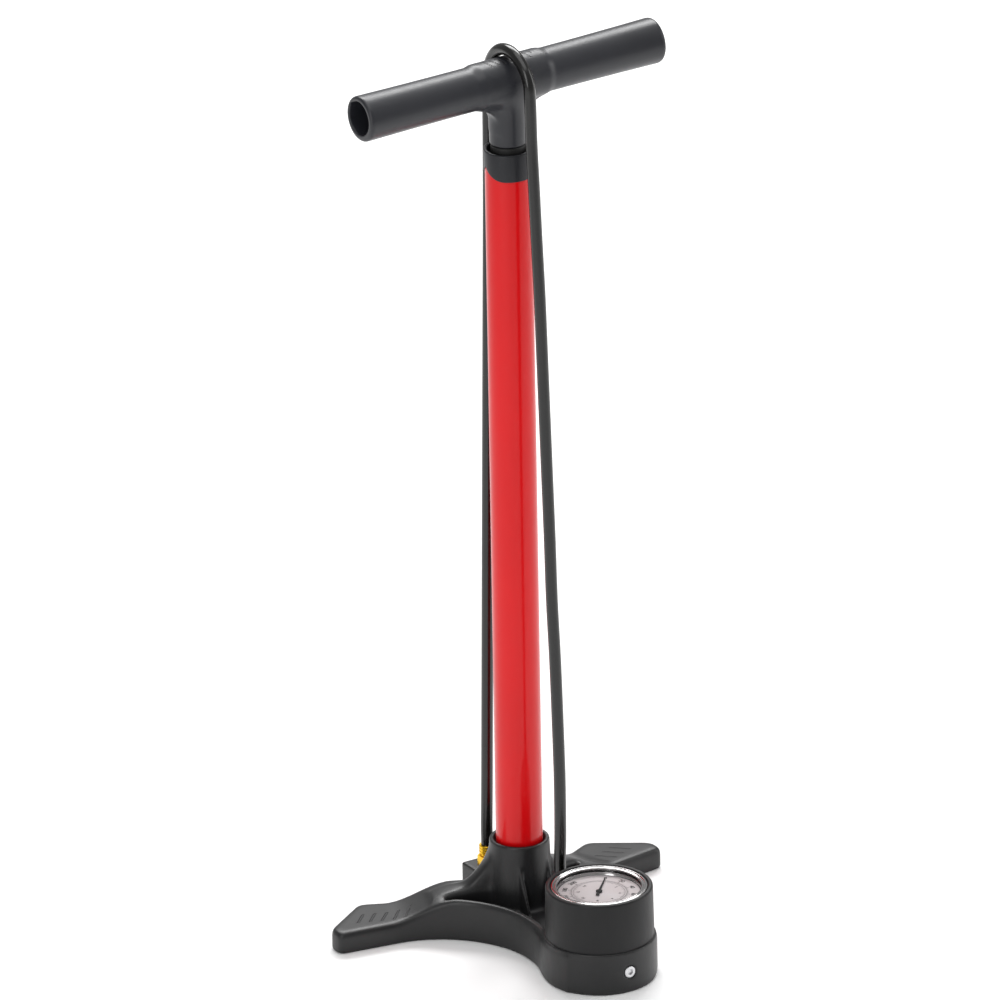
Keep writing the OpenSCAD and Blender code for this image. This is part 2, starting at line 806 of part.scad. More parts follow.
module gauge_stem() {
  half = 5.5;
  foot = 8;
  from = housing_floor + gauge_block_h - gauge_thread_h;
  color("#c9a13b") translate([0, gauge_y, 0]) difference() {
    union() {
      translate([0, 0, from]) cylinder(r = gauge_thread_r, h = stem_seat - from + 1);
      translate([-half, -tube_r - foot / 2, stem_seat])
        cube([2 * half, tube_r + foot / 2 + half, stem_block_h]);
      translate([-foot / 2, -tube_r - foot / 2, stem_seat]) cube([foot, foot, tube_z - stem_seat]);
    }
    translate([0, 0, from - 1]) cylinder(r = air_bore, h = stem_seat - from + 3);
  }
}

module gauge_block() {
  color("#c9a13b") translate([0, gauge_y, housing_floor + set_fit]) difference() {
    translate([-block_half, -block_back, 0])
      cube([2 * block_half, 2 * block_back, gauge_block_h - set_fit]);
    translate([0, 0, gauge_block_h - gauge_thread_h - 0.5]) cylinder(r = gauge_thread_r + set_fit, h = 12);
    translate([0, block_back + 1, air_z - housing_floor]) rod_y(air_r + set_fit, 6);
    translate([0, block_back + 1, air_z - housing_floor]) rod_y(air_bore, 12);
    translate([0, -7, screw_z - housing_floor]) rod_y(screw_r + set_fit, 4);
  }
}

module housing_screw() {
  head_h = 2.4;
  seat_y = gauge_y - housing_r + screw_sink;
  color("#d5d7da") difference() {
    union() {
      translate([0, seat_y, screw_z]) rod_y(screw_head_d / 2, head_h);
      translate([0, gauge_y - 7.5, screw_z]) rod_y(screw_r, -seat_y + gauge_y - 7);
    }
    translate([0, seat_y - 0.8, screw_z]) rotate([90, 0, 0]) hex(screw_key, screw_key);
  }
}

// ---- Air ways ----

module front_air_tube() {
  from = -chamber_r - 1;
  to = gauge_y + 6;
  color("#b8862b") translate([0, from, air_z]) difference() {
    rod_y(air_r, from - to);
    translate([0, 1, 0]) rod_y(air_bore, from - to + 2);
  }
}

module rear_air_tube() {
  from = fitting_y - 3;
  to = chamber_r + 1;
  color("#b8862b") translate([0, from, air_z]) difference() {
    rod_y(air_r, from - to);
    translate([0, 1, 0]) rod_y(air_bore, from - to + 2);
  }
}

// ---- Hose and chuck ----

module hose_fitting() {
  color("#d9ab33") translate([0, fitting_y, 0]) difference() {
    union() {
      translate([0, 0, block_h - fitting_thread_h]) cylinder(r = fitting_thread_r, h = fitting_thread_h + 1);
      translate([0, 0, block_h + set_fit]) hex(fitting_hex_af, fitting_hex_h);
      translate([0, 0, block_h + fitting_hex_h - 1]) cylinder(r = crimp_r - 0.7, h = 3);
      translate([0, 0, block_h + fitting_hex_h + 1])
        cylinder(r = crimp_r, h = fitting_top - block_h - fitting_hex_h - 1);
    }
    translate([0, 0, block_h - fitting_thread_h - 1]) cylinder(r = air_bore, h = fitting_top - block_h);
  }
}

module hose() {
  route = curve(hose_route, hose_steps);
  path = [for (p = route) [0, p[0], p[1]]];
  color("#1a1a1b") sweep(path, hose_sides, hose_r, function (i) [1, 0, 0]);
}

module chuck_post() {
  color("#8d9094") translate([0, -chuck_y, deck_z - post_root])
    cylinder(r = post_r, h = post_top - deck_z + post_root);
}

module chuck_ferrule() {
  color("#2a2b2d") translate([0, -chuck_y, ferrule_z + set_fit])
    cylinder(r = ferrule_r, h = ferrule_h - set_fit);
}

module chuck_body() {
  color("#b9bcc0") translate([0, -chuck_y, 0]) difference() {
    union() {
      translate([0, 0, chuck_z]) cylinder(r = chuck_neck_r, h = chuck_neck_h + 1);
      translate([0, 0, chuck_z + chuck_neck_h]) cylinder(r = chuck_r, h = ferrule_z - chuck_z - chuck_neck_h);
    }
    translate([0, 0, chuck_z - 1]) cylinder(r = chuck_bore_r, h = post_top - chuck_z + 3);
    translate([0, 0, chuck_z - 1]) cylinder(r = chuck_neck_r - chuck_seal_t, h = chuck_seal_h + 1);
    translate([0, 0, chuck_z]) cylinder(r = air_bore, h = ferrule_z - chuck_z - 2);
    translate([0, 0, bleed_z]) rotate([0, -90, 0]) cylinder(r = bleed_r + run_fit, h = chuck_r + 1);
  }
}

module chuck_sleeve() {
  bottom = chuck_z - sleeve_lip - move_gap;
  top = chuck_z + chuck_neck_h - move_gap;
  color("#85888d") translate([0, -chuck_y, bottom]) difference() {
    cylinder(r = chuck_sleeve_d / 2, h = top - bottom);
    translate([0, 0, sleeve_lip]) cylinder(r = chuck_neck_r + run_fit, h = top - bottom);
    translate([0, 0, -1]) cylinder(r = post_r + 1, h = sleeve_lip + 2);
  }
}

module chuck_seal() {
  color("#161616") translate([0, -chuck_y, chuck_z])
    ring(chuck_neck_r - chuck_seal_t - set_fit, post_r + 0.2, chuck_seal_h - set_fit);
}

module bleed_button() {
  stand = bleed_travel + move_gap;
  color("#c43a2c") translate([0, -chuck_y, bleed_z]) rotate([0, -90, 0]) {
    translate([0, 0, air_bore + bleed_travel + 1])
      cylinder(r = bleed_r, h = chuck_r + stand - air_bore - bleed_travel);
    translate([0, 0, chuck_r + stand]) cylinder(r = bleed_cap_r, h = bleed_cap_h);
  }
}

base();
barrel();
barrel_collar();
rod_bushing();
stem_bumper();
valve_body();
barrel_seal();
valve_ball();
valve_spring();
valve_cap();
base_screws();
piston_head();
piston_seal();
piston_ring();
piston_rod();
piston_washer();
piston_nut();
topout_bumper();
handle();
handle_insert();
gauge_sleeve();
gauge_case();
gauge_bezel();
gauge_lens();
gauge_dial();
gauge_needle();
bourdon_tube();
gauge_movement();
gauge_stem();
gauge_block();
housing_screw();
front_air_tube();
rear_air_tube();
hose_fitting();
hose();
chuck_post();
chuck_ferrule();
chuck_body();
chuck_sleeve();
chuck_seal();
bleed_button();
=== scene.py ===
import math

import bmesh
import bpy
from mathutils import Matrix, Vector


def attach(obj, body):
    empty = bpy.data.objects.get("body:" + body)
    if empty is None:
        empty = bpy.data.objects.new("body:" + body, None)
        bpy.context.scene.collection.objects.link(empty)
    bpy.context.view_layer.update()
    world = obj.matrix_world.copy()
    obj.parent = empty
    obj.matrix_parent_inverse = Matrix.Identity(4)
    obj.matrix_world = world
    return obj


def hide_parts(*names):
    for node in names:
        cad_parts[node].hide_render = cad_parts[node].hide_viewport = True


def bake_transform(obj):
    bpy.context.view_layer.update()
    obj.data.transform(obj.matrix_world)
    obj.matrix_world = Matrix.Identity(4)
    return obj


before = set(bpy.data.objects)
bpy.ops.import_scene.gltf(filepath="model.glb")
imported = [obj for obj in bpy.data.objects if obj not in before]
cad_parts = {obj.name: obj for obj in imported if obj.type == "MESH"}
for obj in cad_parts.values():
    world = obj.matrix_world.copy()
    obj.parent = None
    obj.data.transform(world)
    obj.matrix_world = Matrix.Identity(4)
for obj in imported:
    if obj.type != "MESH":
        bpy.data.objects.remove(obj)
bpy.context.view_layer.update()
mm = 0.001
scene = bpy.context.scene
scene.view_settings.view_transform = "Standard"
print("frame loaded:", len(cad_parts), "nodes")

# ---- camera ----

cameraSetup = {
    "azimuth": -32.0,
    "elevation": 23.5,
    "roll": 0.95,
    "distance": 29.25,
    "lens": 1500.0,
    "across": -0.0146,  # where the view is centred, along the camera's own axes
    "up": 0.297,
}


def makeCamera(setup):
    a, e, roll = (math.radians(setup[k]) for k in ("azimuth", "elevation", "roll"))
    back = Vector((math.sin(a) * math.cos(e), -math.cos(a) * math.cos(e), math.sin(e)))
    level = Vector((math.cos(a), math.sin(a), 0))
    rise = back.cross(level)
    right = level * math.cos(roll) - rise * math.sin(roll)
    up = level * math.sin(roll) + rise * math.cos(roll)
    data = bpy.data.cameras.new("camera")
    data.lens = setup["lens"]
    data.sensor_width = 36
    camera = bpy.data.objects.new("camera", data)
    scene.collection.objects.link(camera)
    turn = Matrix((right, up, back)).transposed().to_4x4()
    turn.translation = right * setup["across"] + up * setup["up"] + back * setup["distance"]
    camera.matrix_world = turn
    scene.camera = camera


makeCamera(cameraSetup)

# ---- Geometry Nodes helpers ----


class Field:
    # a number at every point of space, held as the output of a Math node
    def __init__(self, tree, socket):
        self.tree = tree
        self.socket = socket

    def math(self, operation, *others, clamp=False):
        node = self.tree.nodes.new("ShaderNodeMath")
        node.operation = operation
        node.use_clamp = clamp
        for slot, value in zip(node.inputs, (self,) + others):
            if isinstance(value, Field):
                self.tree.links.new(value.socket, slot)
            else:
                slot.default_value = value
        return Field(self.tree, node.outputs[0])

    def __add__(self, other):
        return self.math("ADD", other)

    def __sub__(self, other):
        return self.math("SUBTRACT", other)

    def __mul__(self, other):
        return self.math("MULTIPLY", other)

    def __truediv__(self, other):
        return self.math("DIVIDE", other)

    def __neg__(self):
        return self.math("MULTIPLY", -1.0)

    __radd__ = __add__
    __rmul__ = __mul__

    def __rsub__(self, other):
        return -self + other

    def abs(self):
        return self.math("ABSOLUTE")

    def max(self, other, soft=0.0):
        return self.math("SMOOTH_MAX", other, soft) if soft else self.math("MAXIMUM", other)

    def min(self, other, soft=0.0):
        return self.math("SMOOTH_MIN", other, soft) if soft else self.math("MINIMUM", other)

    def with_(self, other):
        return (self * self + other * other).math("SQRT")

    def share(self):
        return self.math("ADD", 0.0, clamp=True)

    def ease(self):
        t = self.share()
        return t * t * (3 - t * 2)

    def power(self, exponent):
        return self.math("POWER", exponent)

    def above(self, other):
        return self.math("GREATER_THAN", other)


class Shape:
    # a Geometry Nodes tree whose sizes are named inputs
    def __init__(self, name, sizes):
        self.name = name
        self.tree = bpy.data.node_groups.new(name, "GeometryNodeTree")
        self.sizes = sizes
        self.identifiers = {}
        for key, value in sizes.items():
            kind = "NodeSocketInt" if isinstance(value, int) else "NodeSocketFloat"
            socket = self.tree.interface.new_socket(key, in_out="INPUT", socket_type=kind)
            self.identifiers[key] = socket.identifier
        self.tree.interface.new_socket("Geometry", in_out="OUTPUT", socket_type="NodeSocketGeometry")
        self.given = self.tree.nodes.new("NodeGroupInput")
        self.result = self.tree.nodes.new("NodeGroupOutput")

    def size(self, key):
        return Field(self.tree, self.given.outputs[key])

    def node(self, kind, properties=None, **inputs):
        made = self.tree.nodes.new(kind)
        for key, value in (properties or {}).items():
            setattr(made, key, value)
        for key, value in inputs.items():
            slot = made.inputs[key.replace("_", " ")]
            if isinstance(value, Field):
                self.tree.links.new(value.socket, slot)
            elif isinstance(value, bpy.types.NodeSocket):
                self.tree.links.new(value, slot)
            else:
                slot.default_value = value
        return made

    def places(self):
        # x, y and z in millimetres
        apart = self.node("ShaderNodeSeparateXYZ", Vector=self.node("GeometryNodeInputPosition").outputs[0])
        return [Field(self.tree, s) * 1000 for s in apart.outputs]

    def solid(self, distance, low, high, voxel):
        counts = [int(math.ceil((h - l) / voxel)) + 1 for l, h in zip(low, high)]
        cube = self.node(
            "GeometryNodeVolumeCube",
            Density=1 - distance,
            Background=0.0,
            Min=[v * mm for v in low],
            Max=[(l + voxel * (n - 1)) * mm for l, n in zip(low, counts)],
            Resolution_X=counts[0],
            Resolution_Y=counts[1],
            Resolution_Z=counts[2],
        )
        surface = self.node("GeometryNodeVolumeToMesh", Volume=cube.outputs[0], Threshold=1.0, Adaptivity=0.0)
        return surface.outputs[0]

    def make(self, name, geometry, material, source=None):
        # runs the tree once and keeps its result as a plain mesh
        real = self.node("GeometryNodeRealizeInstances", Geometry=geometry)
        painted = self.node("GeometryNodeSetMaterial", Geometry=real.outputs[0], Material=material)
        self.tree.links.new(painted.outputs[0], self.result.inputs[0])
        holder = bpy.data.objects.new(name + "Source", source or bpy.data.meshes.new(name + "Source"))
        scene.collection.objects.link(holder)
        modifier = holder.modifiers.new(self.name, "NODES")
        modifier.node_group = self.tree
        for key, value in self.sizes.items():
            modifier[self.identifiers[key]] = value
        depsgraph = bpy.context.evaluated_depsgraph_get()
        mesh = bpy.data.meshes.new_from_object(holder.evaluated_get(depsgraph))
        bpy.data.objects.remove(holder)
        return addPiece(name, mesh, material)


# ---- mesh helpers ----


def addPiece(name, mesh, material, angle=None):
    mesh.name = name
    piece = bpy.data.objects.new(name, mesh)
    scene.collection.objects.link(piece)
    mesh.materials.clear()
    mesh.materials.append(material)
    mesh.shade_smooth()
    if angle:
        mesh.set_sharp_from_angle(angle=math.radians(angle))
    return piece


def meshFrom(name, points, faces, scale=mm):
    mesh = bpy.data.meshes.new(name)
    mesh.from_pydata([[c * scale for c in p] for p in points], [], faces)
    mesh.validate()
    work = bmesh.new()
    work.from_mesh(mesh)
    bmesh.ops.remove_doubles(work, verts=work.verts, dist=1e-7)
    bmesh.ops.recalc_face_normals(work, faces=work.faces)
    work.to_mesh(mesh)
    work.free()
    return mesh


def soften(corners, closed=True, steps=4):
    # rounds the corners of a profile; a corner is (radius, height) or (radius, height, round)
    out = []
    count = len(corners)
    for i, corner in enumerate(corners):
        here = Vector(corner[:2])
        reach = corner[2] if len(corner) > 2 else 0
        if not reach or (not closed and i in (0, count - 1)):
            out.append(tuple(here))
            continue
        toLast = (Vector(corners[i - 1][:2]) - here).normalized()
        toNext = (Vector(corners[(i + 1) % count][:2]) - here).normalized()
        half = toLast.angle(toNext) / 2
        back = reach / math.tan(half)
        centre = here + (toLast + toNext).normalized() * (reach / math.sin(half))
        first, last = here + toLast * back - centre, here + toNext * back - centre
        for k in range(steps + 1):
            t = k / steps
            out.append(tuple(centre + (first * (1 - t) + last * t).normalized() * reach))
    return out


def latheMesh(name, profile, sides=128, closed=True, place=None):
    # turns a profile of (radius, height) in millimetres about Z; profile may be a function of the angle
    rows = []
    for k in range(sides):
        a = 2 * math.pi * k / sides
        row = profile(a) if callable(profile) else profile
        rows.append([(r * math.cos(a), r * math.sin(a), z) for r, z in row])
    length = len(rows[0])
    points = [p for row in rows for p in row]
    faces = []
    for k in range(sides):
        n = (k + 1) % sides
        for i in range(length if closed else length - 1):
            j = (i + 1) % length
            ring = [k * length + i, n * length + i, n * length + j, k * length + j]
            faces.append(ring)
    mesh = meshFrom(name, points, faces)
    if place:
        mesh.transform(place)
    return mesh


def moved(x, y, z):
    return Matrix.Translation((x * mm, y * mm, z * mm))


def along(direction, x, y, z):
    # place for a lathed piece whose axis is another direction
    turn = Vector((0, 0, 1)).rotation_difference(Vector(direction)).to_matrix().to_4x4()
    return moved(x, y, z) @ turn


def lathe(name, profile, material, sides=128, closed=True, place=None, angle=32):
    return addPiece(name, latheMesh(name, profile, sides, closed, place), material, angle)


def joined(name, meshes, material, angle=32):
    work = bmesh.new()
    for mesh in meshes:
        work.from_mesh(mesh)
    mesh = bpy.data.meshes.new(name)
    work.to_mesh(mesh)
    work.free()
    return addPiece(name, mesh, material, angle)


def prismMesh(name, outline, low, high, place=None):
    count = len(outline)
    points = [(x, y, z) for z in (low, high) for x, y in outline]
    faces = [list(range(count))[::-1], [count + i for i in range(count)]]
    faces += [[i, (i + 1) % count, count + (i + 1) % count, count + i] for i in range(count)]
    mesh = meshFrom(name, points, faces)
    if place:
        mesh.transform(place)
    return mesh


def fit(piece, body, slot, *nodes):
    # puts a finished piece on its body in place of its CAD nodes
    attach(piece, body)
    if nodes:
        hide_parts(*nodes)
    print("made", piece.name, len(piece.data.polygons), "faces")
    return piece


# ---- finishes ----


def srgb(r, g, b):
    return tuple((c / 255 / 12.92 if c <= 10 else ((c / 255 + 0.055) / 1.055) ** 2.4) for c in (r, g, b)) + (1,)


def shaded(colour, factor):
    return tuple(min(1, c * factor) for c in colour[:3]) + (1,)


class Finish:
    # a material with one Principled shader, and short calls for the nodes that feed it
    def __init__(self, name, **sockets):
        self.material = bpy.data.materials.new(name)
        self.material.use_nodes = True
        self.tree = self.material.node_tree
        self.shader = self.tree.nodes["Principled BSDF"]
        for key, value in sockets.items():
            self.shader.inputs[key.replace("_", " ")].default_value = value
        self.place = self.add("ShaderNodeTexCoord").outputs["Object"]

    def add(self, kind, properties=None, **inputs):
        made = self.tree.nodes.new(kind)
        for key, value in (properties or {}).items():
            setattr(made, key, value)
        for key, value in inputs.items():
            slot = made.inputs[key.replace("_", " ")]
            if isinstance(value, bpy.types.NodeSocket):
                self.tree.links.new(value, slot)
            else:
                slot.default_value = value
        return made

    def stretched(self, scale):
        return self.add("ShaderNodeMapping", Vector=self.place, Scale=scale).outputs[0]

    def noise(self, scale, detail=4.0, rough=0.55, place=None):
        made = self.add("ShaderNodeTexNoise", Vector=place or self.place, Scale=scale, Detail=detail, Roughness=rough)
        return made.outputs["Fac"]

    def cells(self, scale, feature="F1"):
        return self.add("ShaderNodeTexVoronoi", {"feature": feature}, Vector=self.place, Scale=scale).outputs["Distance"]

    def spread(self, value, low, high, fromLow=0.3, fromHigh=0.7):
        made = self.add("ShaderNodeMapRange", Value=value)
        made.inputs["From Min"].default_value = fromLow
        made.inputs["From Max"].default_value = fromHigh
        made.inputs["To Min"].default_value = low
        made.inputs["To Max"].default_value = high
        return made.outputs[0]

    def mix(self, factor, first, second):
        made = self.tree.nodes.new("ShaderNodeMix")
        made.data_type = "RGBA"
        for slot, value in ((made.inputs[0], factor), (made.inputs[6], first), (made.inputs[7], second)):
            if isinstance(value, bpy.types.NodeSocket):
                self.tree.links.new(value, slot)
            else:
                slot.default_value = value
        return made.outputs[2]

    def field(self, socket):
        return Field(self.tree, socket)

    def places(self):
        apart = self.add("ShaderNodeSeparateXYZ", Vector=self.place)
        return [Field(self.tree, s) * 1000 for s in apart.outputs]

    def bump(self, height, depth, strength=1.0, normal=None):
        made = self.add("ShaderNodeBump", Height=height, Strength=strength, Distance=depth * mm)
        if normal:
            self.tree.links.new(normal, made.inputs["Normal"])
        return made.outputs[0]

    def feed(self, key, socket):
        self.tree.links.new(socket, self.shader.inputs[key])
        return self


finishes = {}


def mouldedPlastic(name, colour, roughness, grain=0.03, grainSize=1400, marks=None, specular=0.5):
    # fine eroded grain, faint flow clouds, scuffs that lift the sheen a little, and painted shade in the grooves of any
    # grip marks
    f = Finish(name, Specular_IOR_Level=specular)
    clouds = f.noise(14, 3)
    scuffs = f.noise(220, 6, 0.7, f.stretched((1, 1, 0.35)))
    fine = f.noise(grainSize, 2, 0.6)
    colourNow = f.mix(f.spread(clouds, 0, 1), shaded(colour, 0.9), shaded(colour, 1.12))
    colourNow = f.mix(f.spread(scuffs, 0, 0.35, 0.62, 0.8), colourNow, shaded(colour, 1.7))
    rough = f.field(f.spread(clouds, roughness - 0.03, roughness + 0.03)) + f.field(f.spread(scuffs, -0.03, 0.05))
    normal = f.bump(fine, grain)
    if marks:
        grooveShadeMask = marks(f)
        # painted shade: the grooves of the grip bars are darkened to 0.3 of the colour, on top of their real bump
        colourNow = f.mix(grooveShadeMask.socket, colourNow, shaded(colour, 0.3))
        normal = f.bump((1 - grooveShadeMask).socket, 0.6, 1.0, normal)
    f.feed("Base Color", colourNow).feed("Roughness", rough.socket).feed("Normal", normal)
    finishes[name] = f.material
    return f.material


def glossPaint(name, colour, roughness):
    # sprayed enamel under lacquer, with a slight orange peel and tiny flecks
    f = Finish(name, Coat_Weight=0.3, Coat_Roughness=0.05, Specular_IOR_Level=0.2)
    clouds = f.noise(9, 2)
    flecks = f.cells(2600)
    peel = f.noise(420, 3, 0.5)
    colourNow = f.mix(f.spread(clouds, 0, 1), shaded(colour, 0.95), shaded(colour, 1.05))
    colourNow = f.mix(f.spread(flecks, 0.12, 0, 0.1, 0.4), colourNow, shaded(colour, 1.35))
    f.feed("Base Color", colourNow).feed("Roughness", f.spread(clouds, roughness - 0.03, roughness + 0.04))
    normal = f.bump(peel, 0.012)
    f.feed("Normal", normal).feed("Coat Normal", f.bump(peel, 0.006))
    finishes[name] = f.material
    return f.material


def rubber(name, colour, roughness, specular=0.5, sheen=0.0, streak=(60, 60, 4)):
    # drawn rubber: faint streaks along the piece, pores, and a dusty bloom
    f = Finish(name, Specular_IOR_Level=specular)
    streaks = f.noise(30, 4, 0.6, f.stretched(streak))
    pores = f.cells(1900)
    bloom = f.noise(45, 5, 0.65)
    colourNow = f.mix(f.spread(bloom, 0, 0.5), colour, shaded(colour, 1.5))
    f.feed("Base Color", colourNow)
    rough = f.field(f.spread(streaks, roughness - 0.04, roughness + 0.05)) + f.field(f.spread(bloom, -0.02, 0.04))
    f.feed("Roughness", rough.socket)
    f.feed("Normal", f.bump(pores, 0.012, 0.6, f.bump(streaks, 0.02, 0.4)))
    if sheen:
        f.shader.inputs["Sheen Weight"].default_value = sheen
        f.shader.inputs["Sheen Roughness"].default_value = 0.2
        f.shader.inputs["Sheen Tint"].default_value = (1.0, 0.93, 0.86, 1)
    finishes[name] = f.material
    return f.material


def metal(name, colour, roughness, stretch=(1, 1, 1), lines=900, depth=0.004, tarnish=0.15):
    # turned or drawn metal: fine tool lines across the stretch, stains and small pits
    f = Finish(name, Metallic=1.0)
    toolLines = f.noise(lines, 3, 0.6, f.stretched(stretch))
    stains = f.noise(60, 5, 0.65)
    pits = f.cells(1500)
    colourNow = f.mix(f.spread(stains, 0, 1), colour, shaded(colour, 1 - tarnish))
    colourNow = f.mix(f.spread(pits, 0.25, 0, 0.02, 0.12), colourNow, shaded(colour, 0.5))
    rough = f.field(f.spread(toolLines, roughness * 0.75, roughness * 1.25)) + f.field(f.spread(stains, 0, roughness * 0.4))
    f.feed("Base Color", colourNow).feed("Roughness", rough.socket)
    f.feed("Normal", f.bump(toolLines, depth))
    finishes[name] = f.material
    return f.material


def leather(name, colour):
    f = Finish(name, Specular_IOR_Level=0.35)
    grain = f.cells(900, "F2")
    patches = f.noise(120, 5)
    f.feed("Base Color", f.mix(f.spread(patches, 0, 1), shaded(colour, 0.7), shaded(colour, 1.3)))
    f.feed("Roughness", f.spread(grain, 0.5, 0.75, 0, 1)).feed("Normal", f.bump(grain, 0.08))
    finishes[name] = f.material
    return f.material


def dialFace(name, colour, centre):
    # silvered dial: fine circular brushing about the centre, with a warm cast in patches
    f = Finish(name, Specular_IOR_Level=0.12)
    x, y, z = f.places()
    far = (x - centre[0]).with_(y - centre[1])
    rings = f.add("ShaderNodeTexNoise", {"noise_dimensions": "1D"}, W=(far * 9).socket, Scale=1.0, Detail=3.0)
    patches = f.noise(70, 3)
    speckle = f.noise(2400, 2)
    colourNow = f.mix(f.spread(rings.outputs["Fac"], 0, 1), shaded(colour, 0.94), shaded(colour, 1.05))
    colourNow = f.mix(f.spread(patches, 0, 0.4), colourNow, shaded((colour[0], colour[1] * 0.93, colour[2] * 0.92), 0.9))
    f.feed("Base Color", colourNow).feed("Roughness", f.spread(speckle, 0.55, 0.65))
    f.feed("Normal", f.bump(rings.outputs["Fac"], 0.006, 0.6))
    finishes[name] = f.material
    return f.material


def printedInk(name, colour):
    f = Finish(name, Specular_IOR_Level=0.1)
    wear = f.noise(1800, 3)
    f.feed("Base Color", f.mix(f.spread(wear, 0, 1), colour, shaded(colour, 2.0)))
    f.feed("Roughness", f.spread(wear, 0.6, 0.75))
    finishes[name] = f.material
    return f.material


def clearLens(name):
    # thin clear window: mirror-like at a slant, nearly open from above, with faint smears
    f = Finish(name, Base_Color=(1, 1, 1, 1), Metallic=1.0)
    smears = f.noise(55, 5, 0.7)
    facing = f.add("ShaderNodeLayerWeight", Blend=0.5).outputs["Facing"]
    seen = f.field(facing).power(3) * 0.08 + f.field(f.spread(smears, 0.0, 0.008)) + 0.015
    f.feed("Alpha", seen.share().socket).feed("Roughness", f.spread(smears, 0.015, 0.05))
    finishes[name] = f.material
    return f.material


def footMarks(f):
    # slanted grip bars let into the top of each foot
    x, y, z = f.places()
    turn = math.radians(22)
    u = x.abs() * math.cos(turn) + y * math.sin(turn)
    v = y * math.cos(turn) - x.abs() * math.sin(turn) + 4
    slant = u + v * 0.45
    wave = (slant / 8.5).math("FRACT") - 0.5
    bar = (0.13 - wave.abs()) * 14
    inside = (7 - v.abs()).min(19 - (slant - 97).abs()).min(z - 12)
    return bar.share() * (inside * 2).share()


def saddleMarks(f):
    # a row of short grip bars across the top of the saddle
    x, y, z = f.places()
    slant = x + y * 0.4
    wave = (slant / 5.2).math("FRACT") - 0.5
    bar = (0.16 - wave.abs()) * 12
    inside = (4.5 - (y + 2.5).abs()).min(19 - x.abs()).min(z - 652)
    return bar.share() * (inside * 2).share()


# ---- sizes shared by several pieces, in millimetres ----

pump = {
    "barrelRadius": 16.5,
    "boreRadius": 15.0,
    "barrelLow": 24.0,
    "barrelHigh": 580.0,
    "socketTop": 67.0,
    "deck": 18.0,
    "gaugeY": -104.0,
    "chuckY": -53.0,
    "fittingY": 43.0,
    "stemLow": 596.0,
    "handleTurn": 1.0,
}

mouldedPlastic("basePlastic", srgb(26, 26, 27), 0.4, 0.03, 1500, footMarks, 0.45)
mouldedPlastic("handlePlastic", srgb(37, 38, 43), 0.36, 0.02, 1700, saddleMarks, 0.5)
mouldedPlastic("sleevePlastic", srgb(27, 27, 28), 0.44, 0.02, 1500, None, 0.3)
mouldedPlastic("capPlastic", srgb(30, 31, 35), 0.38, 0.02, 1700, None, 0.35)
mouldedPlastic("bearingPlastic", srgb(226, 222, 205), 0.4, 0.01, 1200)
mouldedPlastic("pistonPlastic", srgb(52, 55, 60), 0.4, 0.01, 1200)
mouldedPlastic("buttonRed", srgb(190, 45, 34), 0.35, 0.01, 1600)
glossPaint("barrelPaint", srgb(222, 7, 14), 0.3)
mouldedPlastic("casePaint", srgb(20, 21, 23), 0.45, 0.012, 1900)
rubber("blackRubber", srgb(20, 20, 20), 0.6)
rubber("hoseRubber", srgb(9, 9, 8), 0.2, 0.6, 0.25)
rubber("blackMetal", srgb(34, 35, 37), 0.35, 0.7)
leather("sealLeather", srgb(92, 58, 34))
metal("zinc", srgb(176, 179, 184), 0.42, (1, 1, 1), 500, 0.01)
metal("steel", srgb(170, 173, 178), 0.3, (1, 1, 6), 700)
metal("brightSteel", srgb(214, 214, 216), 0.28, (1, 1, 1), 900, 0.003, 0.08)
metal("rodChrome", srgb(205, 208, 212), 0.12, (1, 1, 8), 600, 0.002, 0.05)
metal("bezelChrome", srgb(186, 184, 184), 0.14, (1, 1, 5), 600, 0.001, 0.04)
metal("brass", srgb(200, 160, 75), 0.3, (1, 1, 5), 700)
metal("goldBrass", srgb(245, 196, 52), 0.26, (1, 1, 5), 800, 0.003, 0.1)
metal("chuckAluminium", srgb(190, 192, 196), 0.3, (1, 1, 7), 700)
metal("chuckKnurl", srgb(128, 131, 136), 0.35, (1, 1, 3), 700)
dialFace("dialPaint", srgb(190, 183, 184), (0, pump["gaugeY"]))
printedInk("dialInk", srgb(12, 11, 12))
printedInk("needlePaint", srgb(10, 10, 11))
clearLens("lens")
print("finishes:", len(finishes))

# ---- hose ----

hoseSizes = {"Diameter": 8.49, "Sides": 28}
hoseRoute = [
    (43, 45), (43, 49), (43, 60), (42, 85), (40.5, 130), (39, 175), (37.5, 220), (36, 265), (34.5, 310),
    (33, 355), (31.5, 400), (30, 445), (28.5, 490), (27, 535), (26, 575), (25.5, 605), (25, 634),
    (21, 650), (11, 661.5), (-3, 666), (-17, 662.5), (-27.5, 652), (-30, 636), (-31, 605),
    (-33, 575), (-35.5, 535), (-38.5, 490), (-40.5, 445), (-42.5, 400), (-44.5, 355), (-46.5, 310),
    (-48, 265), (-51, 220), (-53, 175), (-54.5, 130), (-54.2, 90),
    (-53, 68), (-53, 64), (-53, 60),
]


def smoothRoute(points, steps):
    out = []
    last = len(points) - 1
    for i in range(last):
        a, b, c, d = (Vector(points[min(max(k, 0), last)]) for k in (i - 1, i, i + 1, i + 2))
        for k in range(steps):
            t = k / steps
            out.append(0.5 * (2 * b + (c - a) * t + (2 * a - 5 * b + 4 * c - d) * t * t + (3 * b - a - 3 * c + d) * t * t * t))
    return out + [Vector(points[last])]


